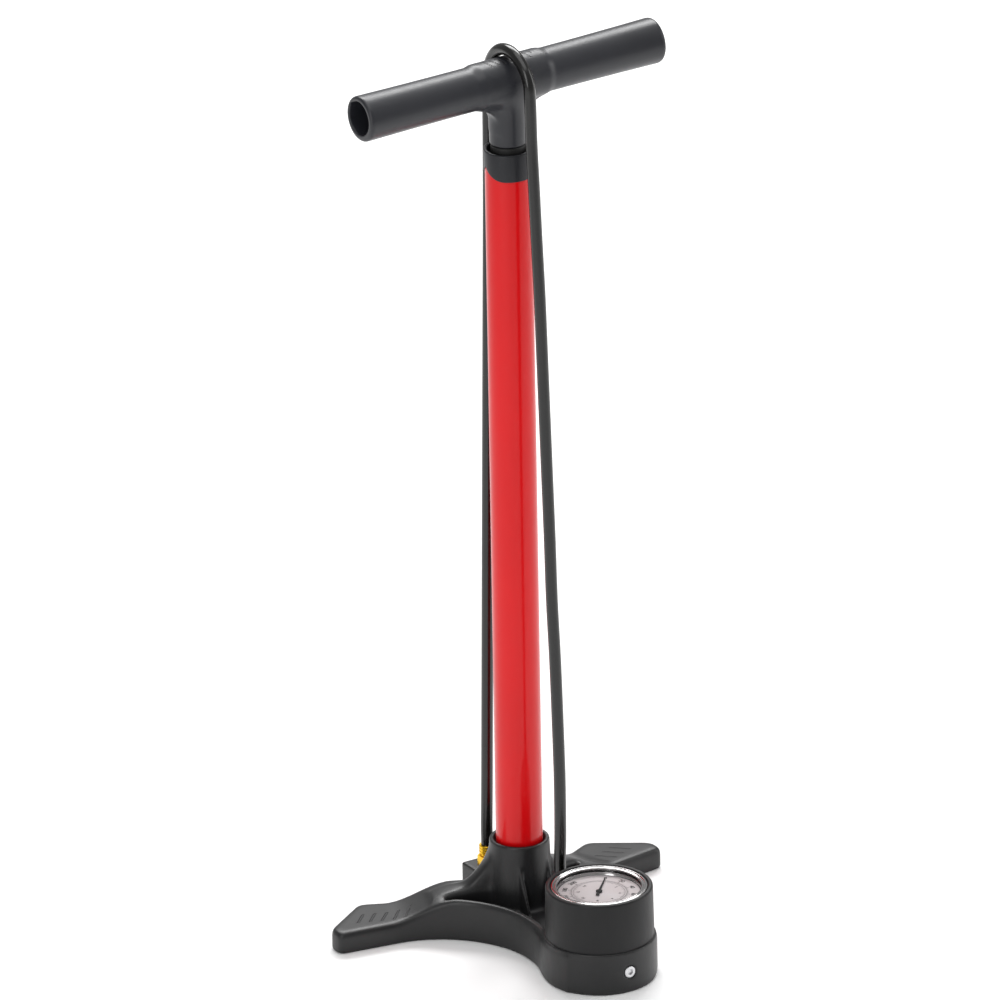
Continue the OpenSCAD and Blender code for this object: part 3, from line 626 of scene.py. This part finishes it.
def makeHose(route, sizes):
    line = smoothRoute(route, 6)
    wire = bpy.data.meshes.new("hoseLine")
    wire.from_pydata([(0, p[0] * mm, p[1] * mm) for p in line], [(i, i + 1) for i in range(len(line) - 1)], [])
    shape = Shape("hoseShape", sizes)
    given = shape.tree.interface.new_socket("Line", in_out="INPUT", socket_type="NodeSocketGeometry")
    shape.tree.interface.move(given, 0)
    curve = shape.node("GeometryNodeMeshToCurve", Mesh=shape.given.outputs["Line"])
    section = shape.node(
        "GeometryNodeCurvePrimitiveCircle", Radius=shape.size("Diameter") * (mm / 2), Resolution=shape.given.outputs["Sides"]
    )
    tube = shape.node("GeometryNodeCurveToMesh", Curve=curve.outputs[0], Profile_Curve=section.outputs[0], Fill_Caps=True)
    piece = shape.make("hoseTube", tube.outputs[0], finishes["hoseRubber"], wire)
    piece.data.set_sharp_from_angle(angle=math.radians(60))
    return piece, [(0, p[0] * mm, p[1] * mm) for p in line]


hoseTube, hoseLine = makeHose(hoseRoute, hoseSizes)
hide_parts("hose")
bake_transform(hoseTube)

# ---- base ----

baseSizes = {
    "Foot reach": 134.0,
    "Pad height": 16.0,
    "Hub height": 30.5,
    "Deck height": 18.0,
    "Lip": 6.5,
    "Edge round": 7.5,
    "Socket rim radius": 21.2,
    "Socket flare": 2.5,
    "Socket top": 67.0,
    "Web thickness": 15.0,
    "Ring radius": 39.6,
    "Ring height": 31.0,
    "Wall": 4.0,
}
baseGrid = {"low": (-137, -147, -3), "high": (137, 70, 70), "voxel": 1.12}


def makeBase(sizes, grid):
    shape = Shape("baseShape", sizes)
    s = shape.size
    x, y, z = shape.places()
    ax = x.abs()
    turn = math.radians(22)
    run = ax * math.cos(turn) + y * math.sin(turn)  # distance out along a foot
    side = y * math.cos(turn) - ax * math.sin(turn)

    # plan: one foot with straight edges, its front edge sweeping into the skirt on a wide arc
    underEdge = (ax * 0.156 - y + 3.77) / 1.0121
    besideSkirt = ax - 29.6
    sweep = 60.0
    a, b = underEdge * -1 + sweep, besideSkirt * -1 + sweep
    gap = a.max(0).with_(b.max(0)) - sweep + a.max(b).min(0)
    rear = (y - ax * 0.49 - 17.5) / 1.1136
    tip = ((ax - 95) * 26 + (y - 64) * 39) / 46.87
    foot = (-gap).max(rear, 5.0).max(tip, 7.0).max(ax - s("Foot reach"), 7.0)
    ringFlat = ax.with_(y - pump["gaugeY"]) - s("Ring radius")
    plan = foot.max(pump["gaugeY"] - y - 8).min(ringFlat, 22.0)

    # height falls from the hub to the pad in an S
    fall = ((run - 45.7) / 48.3).ease()
    top = s("Hub height") - (s("Hub height") - s("Pad height")) * fall
    slab = plan.max((z - top) * 0.96, s("Edge round"))

    # recess behind the lip, down to the deck
    webFront = side + s("Web thickness") * 0.5
    recess = (plan + s("Lip")).max(webFront, 3.0).max(s("Deck height") - z).max(run - 56, 6.0)
    slab = slab.max(-recess, 5.5)

    # socket, webs and hose block
    spread = (1 - (z - 12) / 55).share().power(1.3)
    round_ = ax.with_(y)
    socket = round_ - s("Socket rim radius") - s("Socket flare") * spread
    socket = socket.max(z - s("Socket top"), 3.2)
    out = ((run - 22.5) / 34).share()
    webTop = top - 1.0 + 25.5 * (1 - out).power(2.2)
    web = (side.abs() - s("Web thickness") * 0.5).max((z - webTop) * 0.62, 9.0).max(run - 62).max(12 - run)
    block = (ax - 11).max(y - 60, 2.5).max(z - 28, 2.5).max(-y)
    solid = slab.min(web, 9.0).min(socket, 7.0).min(block, 2.0)

    # thin gussets between the socket and the gauge
    gusset = ((ax - 11.15).abs() - 1.3).max((-y - 31.5 + (z - 17) * 0.36) * 0.94, 1.0).max(z - 52).max(y + 15)
    solid = solid.min(gusset, 2.0)

    # ring that carries the gauge, and its hollow
    ring = ringFlat.max(z - s("Ring height"), 0.9)
    solid = solid.min(ring).max(-z, 3.0)
    hollow = (ringFlat + 6.1).max(5 - z, 1.0)
    solid = solid.max(-hollow)

    # bores for the barrel, the hose fitting, the screw and the parked chuck
    bore = (round_ - 16.62).max(6 - z)
    mouth = round_ - 16.62 - (z - (s("Socket top") - 5)).max(0) * 0.36
    solid = solid.max(-(bore.max(z - 200)), 0.8).max(-(mouth.max(60 - z)), 0.8)
    thread = ax.with_(y - pump["fittingY"]) - 4.1
    solid = solid.max(-(thread.max(17 - z)))
    screwBore = ax.with_(z - 15.4) - 4.5
    solid = solid.max(-(screwBore.max(y - pump["gaugeY"] + 37)), 0.8)
    post = ax.with_(y - pump["chuckY"]) - 2.7
    solid = solid.max(-(post.max(13.8 - z)))

    # pockets under the feet, with ribs left standing
    pocket = (plan + s("Wall")).max(z - top + s("Wall"), 3.0).max(38 - run).max(s("Wall") - recess)
    for k in range(4):
        pocket = pocket.max(1.5 - (run - 45.2 - 26 * k).abs(), 1.0)
    solid = solid.max(-pocket, 1.0)
    for k in range(3):
        angle = math.radians(120 * k)
        hole = (x - 11.5 * math.cos(angle)).with_(y - 11.5 * math.sin(angle)) - 3.6
        solid = solid.max(-(hole.max(z - 3.2)))
    surface = shape.solid(solid, grid["low"], grid["high"], grid["voxel"])
    return shape.make("baseBody", surface, finishes["basePlastic"])


baseBody = fit(makeBase(baseSizes, baseGrid), "stand", "base_plastic", "base")

# ---- handle ----

handleSizes = {
    "Length": 246.0,
    "Grip radius": 15.7,
    "End flare": 0.8,
    "Saddle radius": 16.9,
    "Saddle length": 52.0,
    "Stem radius": 13.1,
    "Fillet": 15.0,
    "Hollow radius": 12.2,
    "Hollow depth": 62.0,
}
handleGrid = {"low": (-126, -20, 594), "high": (126, 20, 662.5), "voxel": 0.82}


def makeHandle(sizes, grid):
    shape = Shape("handleShape", sizes)
    s = shape.size
    px, py, pz = shape.places()
    turn = math.radians(pump["handleTurn"])
    x = px * math.cos(turn) + py * math.sin(turn)
    y = py * math.cos(turn) - px * math.sin(turn)
    z = pz - pump["stemLow"]
    ax = x.abs()
    up = z - 47
    across = y.with_(up)

    # grip with a slight flare, a soft step up to the saddle and rounded ends
    outward = ((ax - 29) / 94).share()
    step = 1 - ((ax - s("Saddle length") * 0.5 + 1) / 7).ease()
    gripRadius = s("Grip radius") + s("End flare") * outward * outward
    radius = gripRadius + (s("Saddle radius") - gripRadius) * step
    grip = (across - radius).max(ax - s("Length") * 0.5, 4.0)

    # stem, spreading into the grip
    flat = ax.with_(y)
    stem = (flat - s("Stem radius")).max(up).max(-z, 1.6)
    spreadUp = ((z - 16) / 15).share()
    wing = (ax - 10.5 - spreadUp * spreadUp * 14).max(y.abs() - 6.5, 5.0).max(up).max(12 - z)
    solid = grip.min(stem, s("Fillet")).min(wing, 5.0)

    # hollow ends, egg-shaped with the point up at the back
    hy, hz = y - 0.6, up - 0.4
    u = hy * math.cos(math.radians(38)) + hz * math.sin(math.radians(38))
    v = hz * math.cos(math.radians(38)) - hy * math.sin(math.radians(38))
    lean = math.radians(26)
    inside = hy.with_(hz)
    flatSide = u * math.cos(lean) + v.abs() * math.sin(lean)
    inCorner = (u * math.tan(lean)).above(v.abs())
    egg = inside + (flatSide - inside) * inCorner - s("Hollow radius")
    floor = s("Length") * 0.5 - s("Hollow depth") - ax
    solid = solid.max(-(egg.max(floor, 6.0)), 1.6)

    # bore for the rod
    bore = (flat - 6.6).max(z - 6)
    seat = (flat - 8.8).max(5 - z).max(z - 30.1)
    solid = solid.max(-bore, 0.8).max(-seat)
    surface = shape.solid(solid, grid["low"], grid["high"], grid["voxel"])
    return shape.make("handleGrip", surface, finishes["handlePlastic"])


handleGrip = fit(makeHandle(handleSizes, handleGrid), "handle", "handle_plastic", "handle")

# ---- barrel, collar and what shows at its top ----

collarSizes = {
    "outer": 17.25,
    "low": 572.0,
    "high": 592.0,
    "cupRadius": 15.05,
    "cupFloor": 586.0,
    "archHeight": 8.3,
    "archSpan": 60.0,
    "archTurn": -10.0,
    "bushingRadius": 9.03,
    "spigotLow": 564.0,
}


def collarProfile(angle):
    c = collarSizes
    away = abs((math.degrees(angle) - c["archTurn"] + 90) % 180 - 90)  # degrees from the nearest peak
    arch = c["archHeight"] * max(0, 1 - away / c["archSpan"]) ** 2.2
    low = c["low"] + arch
    return soften([
        (16.56, low, 0), (c["outer"] - 0.05, low, 0.25), (c["outer"], low + 2, 0), (c["outer"], c["high"], 0.9),
        (c["cupRadius"], c["high"], 0.7), (c["cupRadius"] - 0.1, c["cupFloor"], 0.8),
        (c["bushingRadius"], c["cupFloor"], 0.2), (c["bushingRadius"], c["spigotLow"] + 4, 0),
        (7.35, c["spigotLow"] + 4, 0), (7.35, c["spigotLow"], 0), (14.94, c["spigotLow"], 0.6),
        (14.94, 580.05, 0), (16.56, 580.05, 0),
    ])


fit(lathe("barrelCollar", collarProfile, finishes["capPlastic"], 240), "stand", "cap_plastic", "barrel_collar")

barrelProfile = soften([(15.0, 24, 0.2), (16.5, 24, 0.5), (16.5, 580, 0.2), (15.0, 580, 0.2)])
fit(lathe("barrelTube", barrelProfile, finishes["barrelPaint"], 160), "stand", "barrel_paint", "barrel")
bumperProfile = soften([(7.0, 586.05, 0), (12.3, 586.05, 0.4), (12.3, 595.65, 1.4), (7.0, 595.65, 0.6)])
fit(lathe("stemBumper", bumperProfile, finishes["blackRubber"], 96), "stand", "black_rubber", "stem_bumper")
rodProfile = soften(
    [(0, 39), (4, 39, 0.6), (4, 67.7, 0), (6.35, 67.7, 0.8), (6.35, 624, 0.8), (0, 624)], closed=False
)
fit(lathe("pistonRod", rodProfile, finishes["rodChrome"], 96, closed=False), "handle", "rod_chrome", "piston_rod")

# ---- gauge ----

gaugeSizes = {
    "sleeveLow": 31.05,
    "sleeveTop": 68.0,
    "sleeveRadius": 38.3,
    "sleeveBore": 34.5,
    "bezelRadius": 34.2,
    "bezelLow": 60.5,
    "bezelTop": 67.7,
    "dialRadius": 29.5,
    "dialLow": 61.3,
    "dialTop": 62.1,
    "lensLow": 64.13,
    "lensTop": 66.1,
    "zero": 47.0,
    "sweep": 300.0,
}


def makeGauge(g):
    centre = moved(0, pump["gaugeY"], 0)
    sleeve = soften([
        (g["sleeveBore"], g["sleeveLow"], 0), (g["sleeveRadius"], g["sleeveLow"], 0.15),
        (g["sleeveRadius"] - 0.5, g["sleeveTop"], 1.7), (g["sleeveBore"], g["sleeveTop"], 0.9),
        (g["sleeveBore"], g["bezelLow"] - 0.05, 0), (32.7, g["bezelLow"] - 0.05, 0.3), (32.7, 54.5, 0),
    ], steps=6)
    fit(lathe("gaugeSleeve", sleeve, finishes["sleevePlastic"], 192, place=centre), "stand", "sleeve_plastic", "gauge_sleeve")

    # bezel: rolled outer bead, a groove, an inner bead, then a fall to the window
    bezel = soften([
        (32.45, g["bezelLow"], 0), (g["bezelRadius"], g["bezelLow"], 0.3), (g["bezelRadius"], g["bezelTop"] - 0.3, 1.1),
        (32.6, g["bezelTop"], 0.5), (32.1, g["bezelTop"] - 0.75, 0.35), (31.3, g["bezelTop"] - 0.75, 0.35),
        (30.9, g["bezelTop"] - 0.15, 0.4), (29.9, g["bezelTop"] - 0.5, 0.4), (29.7, g["lensTop"] + 0.1, 0.2), (32.45, g["lensTop"] + 0.1, 0),
    ], steps=6)
    fit(lathe("gaugeBezel", bezel, finishes["bezelChrome"], 192, place=centre), "stand", "bezel_chrome", "gauge_bezel")

    # polished wall seen between the window and the dial
    wall = soften([(29.55, g["dialTop"] + 0.02, 0), (32.1, g["dialTop"] + 0.02, 0), (32.1, g["lensLow"] - 0.03, 0), (29.75, g["lensLow"] - 0.03, 0.3), (29.95, 63.2, 0)])
    fit(lathe("dialWall", wall, finishes["bezelChrome"], 160, place=centre), "stand", "bezel_chrome")

    lens = soften([(0, g["lensLow"]), (32.2, g["lensLow"], 0.3), (32.2, g["lensTop"] - 0.15, 0.3), (18, g["lensTop"] - 0.04, 0), (0, g["lensTop"])], closed=False)
    fit(lathe("gaugeLens", lens, finishes["lens"], 128, closed=False, place=centre), "stand", "lens", "gauge_lens")

    dial = soften([(1.2, g["dialLow"], 0), (g["dialRadius"], g["dialLow"], 0), (g["dialRadius"], g["dialTop"], 0.15), (1.2, g["dialTop"], 0.1)])
    fit(lathe("gaugeDial", dial, finishes["dialPaint"], 128, place=centre), "stand", "dial_print", "gauge_dial")


makeGauge(gaugeSizes)

tickRows = {
    # count, inner radius, length, width
    "outerTicks": (101, 19.6, 1.2, 0.22),
    "outerLongTicks": (11, 19.6, 2.4, 0.45),
    "innerTicks": (71, 17.0, 0.9, 0.14),
    "innerLongTicks": (15, 16.4, 1.5, 0.26),
}


def makeTicks(name, count, radius, length, width, g):
    # one thin bar repeated along the dial's arc
    shape = Shape(name + "Shape", {"Count": count, "Radius": radius, "Length": length, "Width": width, "Zero": g["zero"], "Sweep": g["sweep"]})
    points = shape.node("GeometryNodePoints", Count=shape.given.outputs["Count"])
    index = Field(shape.tree, shape.node("GeometryNodeInputIndex").outputs[0])
    share = index / (Field(shape.tree, shape.given.outputs["Count"]) - 1)
    angle = (shape.size("Zero") - share * shape.size("Sweep")) * (math.pi / 180)
    middle = (shape.size("Radius") + shape.size("Length") * 0.5) * mm
    where = shape.node("ShaderNodeCombineXYZ", X=angle.math("COSINE") * middle, Y=angle.math("SINE") * middle + pump["gaugeY"] * mm, Z=(g["dialTop"] + 0.04) * mm)
    placed = shape.node("GeometryNodeSetPosition", Geometry=points.outputs[0], Position=where.outputs[0])
    bar = shape.node("GeometryNodeMeshGrid", Size_X=shape.size("Length") * mm, Size_Y=shape.size("Width") * mm, Vertices_X=2, Vertices_Y=2)
    turn = shape.node("ShaderNodeCombineXYZ", Z=angle)
    set_ = shape.node("GeometryNodeInstanceOnPoints", Points=placed.outputs[0], Instance=bar.outputs[0], Rotation=turn.outputs[0])
    return shape.make(name, set_.outputs[0], finishes["dialInk"])


def textMesh(words, size, place):
    curve = bpy.data.curves.new("number", "FONT")
    curve.body = words
    curve.size = size * mm
    curve.align_x = "CENTER"
    curve.align_y = "CENTER"
    curve.resolution_u = 3
    curve.offset = size * 0.028 * mm
    holder = bpy.data.objects.new("number", curve)
    scene.collection.objects.link(holder)
    mesh = bpy.data.meshes.new_from_object(holder.evaluated_get(bpy.context.evaluated_depsgraph_get()))
    bpy.data.objects.remove(holder)
    mesh.transform(place)
    return mesh


def flatRing(radius, width, height, sides=128):
    rows = [(radius, height), (radius + width, height)]
    return latheMesh("line", rows, sides, closed=False, place=moved(0, pump["gaugeY"], 0))


def makeDialPrint(g):
    height = g["dialTop"] + 0.04
    meshes = []
    for row, values in tickRows.items():
        piece = makeTicks(row, *values, g)
        meshes.append(piece.data)
        bpy.data.objects.remove(piece)
    for radius, width in ((29.0, 0.45), (19.4, 0.3), (18.1, 0.26)):
        meshes.append(flatRing(radius, width, height))
    for value in range(0, 201, 20):
        angle = math.radians(g["zero"] - g["sweep"] * value / 200)
        turn = Matrix.Rotation(angle - math.pi / 2, 4, "Z")
        spot = moved(24.3 * math.cos(angle), pump["gaugeY"] + 24.3 * math.sin(angle), height)
        meshes.append(textMesh(str(value), 4.6, spot @ turn))
    for value in range(0, 15, 2):
        angle = math.radians(g["zero"] - g["sweep"] * value * 14.504 / 200)
        turn = Matrix.Rotation(angle - math.pi / 2, 4, "Z")
        spot = moved(14.6 * math.cos(angle), pump["gaugeY"] + 14.6 * math.sin(angle), height)
        meshes.append(textMesh(str(value), 3.0, spot @ turn))
    piece = joined("dialPrint", meshes, finishes["dialInk"], None)
    for polygon in piece.data.polygons:  # print faces up
        if polygon.normal.z < 0:
            polygon.flip()
    return fit(piece, "stand", "dial_print")


makeDialPrint(gaugeSizes)


def makeNeedle(g):
    turn = moved(0, pump["gaugeY"], 0) @ Matrix.Rotation(math.radians(g["zero"]), 4, "Z")
    blade = [(-7, -0.9), (-6.6, -1.2), (-4.5, -1.2), (-3, -0.8), (0, -0.85), (18, -0.42), (24, -0.12), (24, 0.12), (18, 0.42), (0, 0.85), (-3, 0.8), (-4.5, 1.2), (-6.6, 1.2), (-7, 0.9)]
    hub = soften([(0, 62.7), (2.3, 62.7, 0.1), (2.3, 63.6, 0.35), (1.1, 63.7, 0), (0, 63.7)], closed=False)
    arbor = [(0, 49.5), (0.85, 49.5), (0.85, 62.8), (0, 62.8)]
    meshes = [
        prismMesh("blade", blade, 62.65, 63.15, turn),
        latheMesh("hub", hub, 48, closed=False, place=turn),
        latheMesh("arbor", arbor, 24, closed=False, place=turn),
    ]
    return fit(joined("gaugeNeedle", meshes, finishes["needlePaint"]), "needle", "needle_paint", "gauge_needle")


makeNeedle(gaugeSizes)


def hexReach(angle, flats):
    # distance from the middle of a hexagon to its side, at an angle
    a = (angle + math.pi / 6) % (math.pi / 3) - math.pi / 6
    return flats / 2 / math.cos(a)


def housingScrewProfile(angle):
    hexIn = hexReach(angle, 4.0)
    return soften([
        (0, 1.0), (hexIn * 0.96, 1.0, 0), (hexIn, 2.2, 0.12), (hexIn + 0.25, 2.4, 0.1), (4.25, 2.4, 0.5),
        (4.25, 0, 0.2), (2.2, 0, 0), (2.2, -29, 0), (0, -29),
    ], closed=False)


screwPlace = along((0, -1, 0), 0, -141.0, 15.4)
fit(lathe("housingScrew", housingScrewProfile, finishes["brightSteel"], 72, closed=False, place=screwPlace), "stand", "bright_steel", "housing_screw")

# ---- hose fitting and chuck ----


def fittingProfile(angle):
    flats = hexReach(angle, 12.0)
    crown = min(flats, 6.45)
    return [
        (1.2, 20), (3.9, 20), (3.95, 28.05), (crown, 28.05), (flats, 28.6), (flats, 36.3), (crown, 37.0),
        (4.9, 37.05), (4.8, 37.6), (4.8, 38.6), (5.5, 38.9), (5.7, 39.3), (5.7, 40.4), (5.4, 40.7), (5.4, 41.2),
        (5.7, 41.5), (5.7, 42.6), (5.4, 42.9), (5.4, 43.4), (5.7, 43.7), (5.7, 44.6), (5.3, 45.0), (1.2, 45.0),
    ]


fit(lathe("hoseFitting", fittingProfile, finishes["goldBrass"], 96, place=moved(0, pump["fittingY"], 0), angle=25), "stand", "gold_brass", "hose_fitting")

chuckPlace = moved(0, pump["chuckY"], 0)
ferruleProfile = soften([
    (0, 50.05), (4.8, 50.05, 0.4), (5.6, 51.2, 0.3), (5.6, 54.6, 0.3), (5.25, 55.0, 0.2), (5.6, 55.5, 0.3),
    (5.55, 59.0, 0.5), (4.45, 60.0, 0.2), (0, 60.0),
], closed=False)
fit(lathe("chuckFerrule", ferruleProfile, finishes["blackMetal"], 96, closed=False, place=chuckPlace), "stand", "black_metal", "chuck_ferrule")
chuckProfile = soften([
    (3.2, 24, 0), (6.0, 24, 0.3), (6.0, 35.0, 0), (6.9, 35.05, 0.5), (6.9, 38.4, 0.2), (6.5, 38.8, 0.2), (6.5, 39.4, 0.2),
    (6.9, 39.8, 0.2), (6.9, 49.9, 1.0), (1.2, 49.9, 0), (1.2, 31, 0), (3.2, 31, 0),
])
fit(lathe("chuckBody", chuckProfile, finishes["chuckAluminium"], 120, place=chuckPlace), "stand", "chuck_aluminium", "chuck_body")

knurlSizes = {"Ribs": 36, "Rib width": 0.75, "Rib depth": 0.5, "Rib length": 9.4}


def makeChuckSleeve(k):
    core = latheMesh("core", soften([
        (3.6, 21.7, 0.3), (8.3, 21.7, 0.6), (8.75, 22.8, 0.3), (8.75, 34.0, 0.3), (8.1, 34.7, 0.3), (6.1, 34.7, 0.2), (6.1, 23.8, 0), (3.6, 23.8, 0),
    ]), 108, place=chuckPlace)
    shape = Shape("knurlShape", k)
    circle = shape.node("GeometryNodeCurvePrimitiveCircle", Radius=8.72 * mm, Resolution=shape.given.outputs["Ribs"])
    points = shape.node("GeometryNodeCurveToPoints", {"mode": "EVALUATED"}, Curve=circle.outputs[0])
    index = Field(shape.tree, shape.node("GeometryNodeInputIndex").outputs[0])
    angle = index * 2 * math.pi / Field(shape.tree, shape.given.outputs["Ribs"])
    size = shape.node("ShaderNodeCombineXYZ", X=shape.size("Rib depth") * mm, Y=shape.size("Rib width") * mm, Z=shape.size("Rib length") * mm)
    rib = shape.node("GeometryNodeMeshCube", Size=size.outputs[0])
    turn = shape.node("ShaderNodeCombineXYZ", Z=angle)
    ribs = shape.node("GeometryNodeInstanceOnPoints", Points=points.outputs[0], Instance=rib.outputs["Mesh"], Rotation=turn.outputs[0])
    placed = shape.node("GeometryNodeTransform", Geometry=ribs.outputs[0], Translation=(0, pump["chuckY"] * mm, 28.4 * mm))
    band = shape.make("knurl", placed.outputs[0], finishes["chuckKnurl"])
    piece = joined("chuckSleeve", [core, band.data], finishes["chuckKnurl"])
    bpy.data.objects.remove(band)
    return fit(piece, "chuck_sleeve", "chuck_knurl", "chuck_sleeve")


makeChuckSleeve(knurlSizes)
buttonProfile = soften([(0, 3.75), (1.5, 3.75, 0.1), (1.5, 8.7, 0), (2.6, 8.75, 0.3), (2.6, 10.4, 0.5), (0, 10.5)], closed=False)
fit(
    lathe("bleedButton", buttonProfile, finishes["buttonRed"], 48, closed=False, place=along((-1, 0, 0), 0, pump["chuckY"], 43)),
    "bleed_button", "button_red", "bleed_button",
)

# ---- screws under the base ----

baseScrewSizes = {"Count": 3, "Ring radius": 11.5}


def baseScrewProfile(angle):
    key = hexReach(angle, 3.0)
    return soften([(0, 1.9), (key, 1.9, 0), (key, 0.85, 0.1), (3.2, 0.8, 0.5), (3.2, 3.0, 0), (1.7, 3.0, 0), (1.7, 15.6, 0.4), (0, 16)], closed=False)


def makeBaseScrews(sizes):
    one = addPiece("screw", latheMesh("screw", baseScrewProfile, 48, closed=False), finishes["zinc"])
    shape = Shape("baseScrewShape", sizes)
    circle = shape.node("GeometryNodeCurvePrimitiveCircle", Radius=shape.size("Ring radius") * mm, Resolution=shape.given.outputs["Count"])
    points = shape.node("GeometryNodeCurveToPoints", {"mode": "EVALUATED"}, Curve=circle.outputs[0])
    screw = shape.node("GeometryNodeObjectInfo", Object=one)
    placed = shape.node("GeometryNodeInstanceOnPoints", Points=points.outputs[0], Instance=screw.outputs["Geometry"])
    piece = shape.make("baseScrews", placed.outputs[0], finishes["zinc"])
    bpy.data.objects.remove(one)
    piece.data.set_sharp_from_angle(angle=math.radians(32))
    return fit(piece, "stand", "zinc", "base_screws")


makeBaseScrews(baseScrewSizes)

# ---- finishes of the CAD pieces that stay ----

keptNodes = {
    "rod_bushing": "bearingPlastic",
    "valve_body": "zinc",
    "barrel_seal": "blackRubber",
    "valve_ball": "steel",
    "valve_spring": "steel",
    "valve_cap": "brass",
    "piston_head": "pistonPlastic",
    "piston_seal": "sealLeather",
    "piston_ring": "bearingPlastic",
    "piston_washer": "steel",
    "piston_nut": "steel",
    "topout_bumper": "blackRubber",
    "handle_insert": "brass",
    "gauge_case": "casePaint",
    "bourdon_tube": "brass",
    "gauge_movement": "brass",
    "gauge_stem": "brass",
    "gauge_block": "brass",
    "front_air_tube": "brass",
    "rear_air_tube": "brass",
    "chuck_post": "zinc",
    "chuck_seal": "blackRubber",
}
for nodeName, finishName in keptNodes.items():
    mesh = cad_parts[nodeName].data
    mesh.materials.clear()
    mesh.materials.append(finishes[finishName])

# ---- floor and light ----

lights = {
    # place, width, height, power, aimed at
    "leftBox": ((-2.2, -1.3, 1.5), 1.0, 2.2, 22, (0, 0, 0.35)),
    "rightBox": ((2.4, -1.0, 1.2), 1.0, 2.2, 16, (0, 0, 0.3)),
    "backBox": ((1.4, 2.3, 3.2), 3.0, 1.5, 150, (0, 0, 0.3)),
    "topBox": ((0, -0.2, 3.0), 2.4, 2.4, 30, (0, 0, 0)),
}


def makeStage():
    mesh = bpy.data.meshes.new("floor")
    mesh.from_pydata([(-8, -8, 0), (8, -8, 0), (8, 8, 0), (-8, 8, 0)], [], [(0, 1, 2, 3)])
    f = Finish("paleFloor", Specular_IOR_Level=0.2)
    mottle = f.noise(3, 3)
    f.feed("Base Color", f.mix(f.spread(mottle, 0, 1), (0.94, 0.94, 0.94, 1), (0.96, 0.96, 0.96, 1)))
    f.feed("Roughness", f.spread(mottle, 0.85, 0.95))
    floor = addPiece("floor", mesh, f.material)
    for name, (place, width, height, power, target) in lights.items():
        data = bpy.data.lights.new(name, "AREA")
        data.shape = "RECTANGLE"
        data.size, data.size_y, data.energy = width, height, power
        light = bpy.data.objects.new(name, data)
        light.location = place
        light.rotation_euler = (Vector(target) - Vector(place)).to_track_quat("-Z", "Y").to_euler()
        scene.collection.objects.link(light)
    world = bpy.data.worlds.new("studio")
    world.use_nodes = True
    world.node_tree.nodes["Background"].inputs["Color"].default_value = (1, 1, 1, 1)
    world.node_tree.nodes["Background"].inputs["Strength"].default_value = 0.35
    scene.world = world


makeStage()
print("stage set")
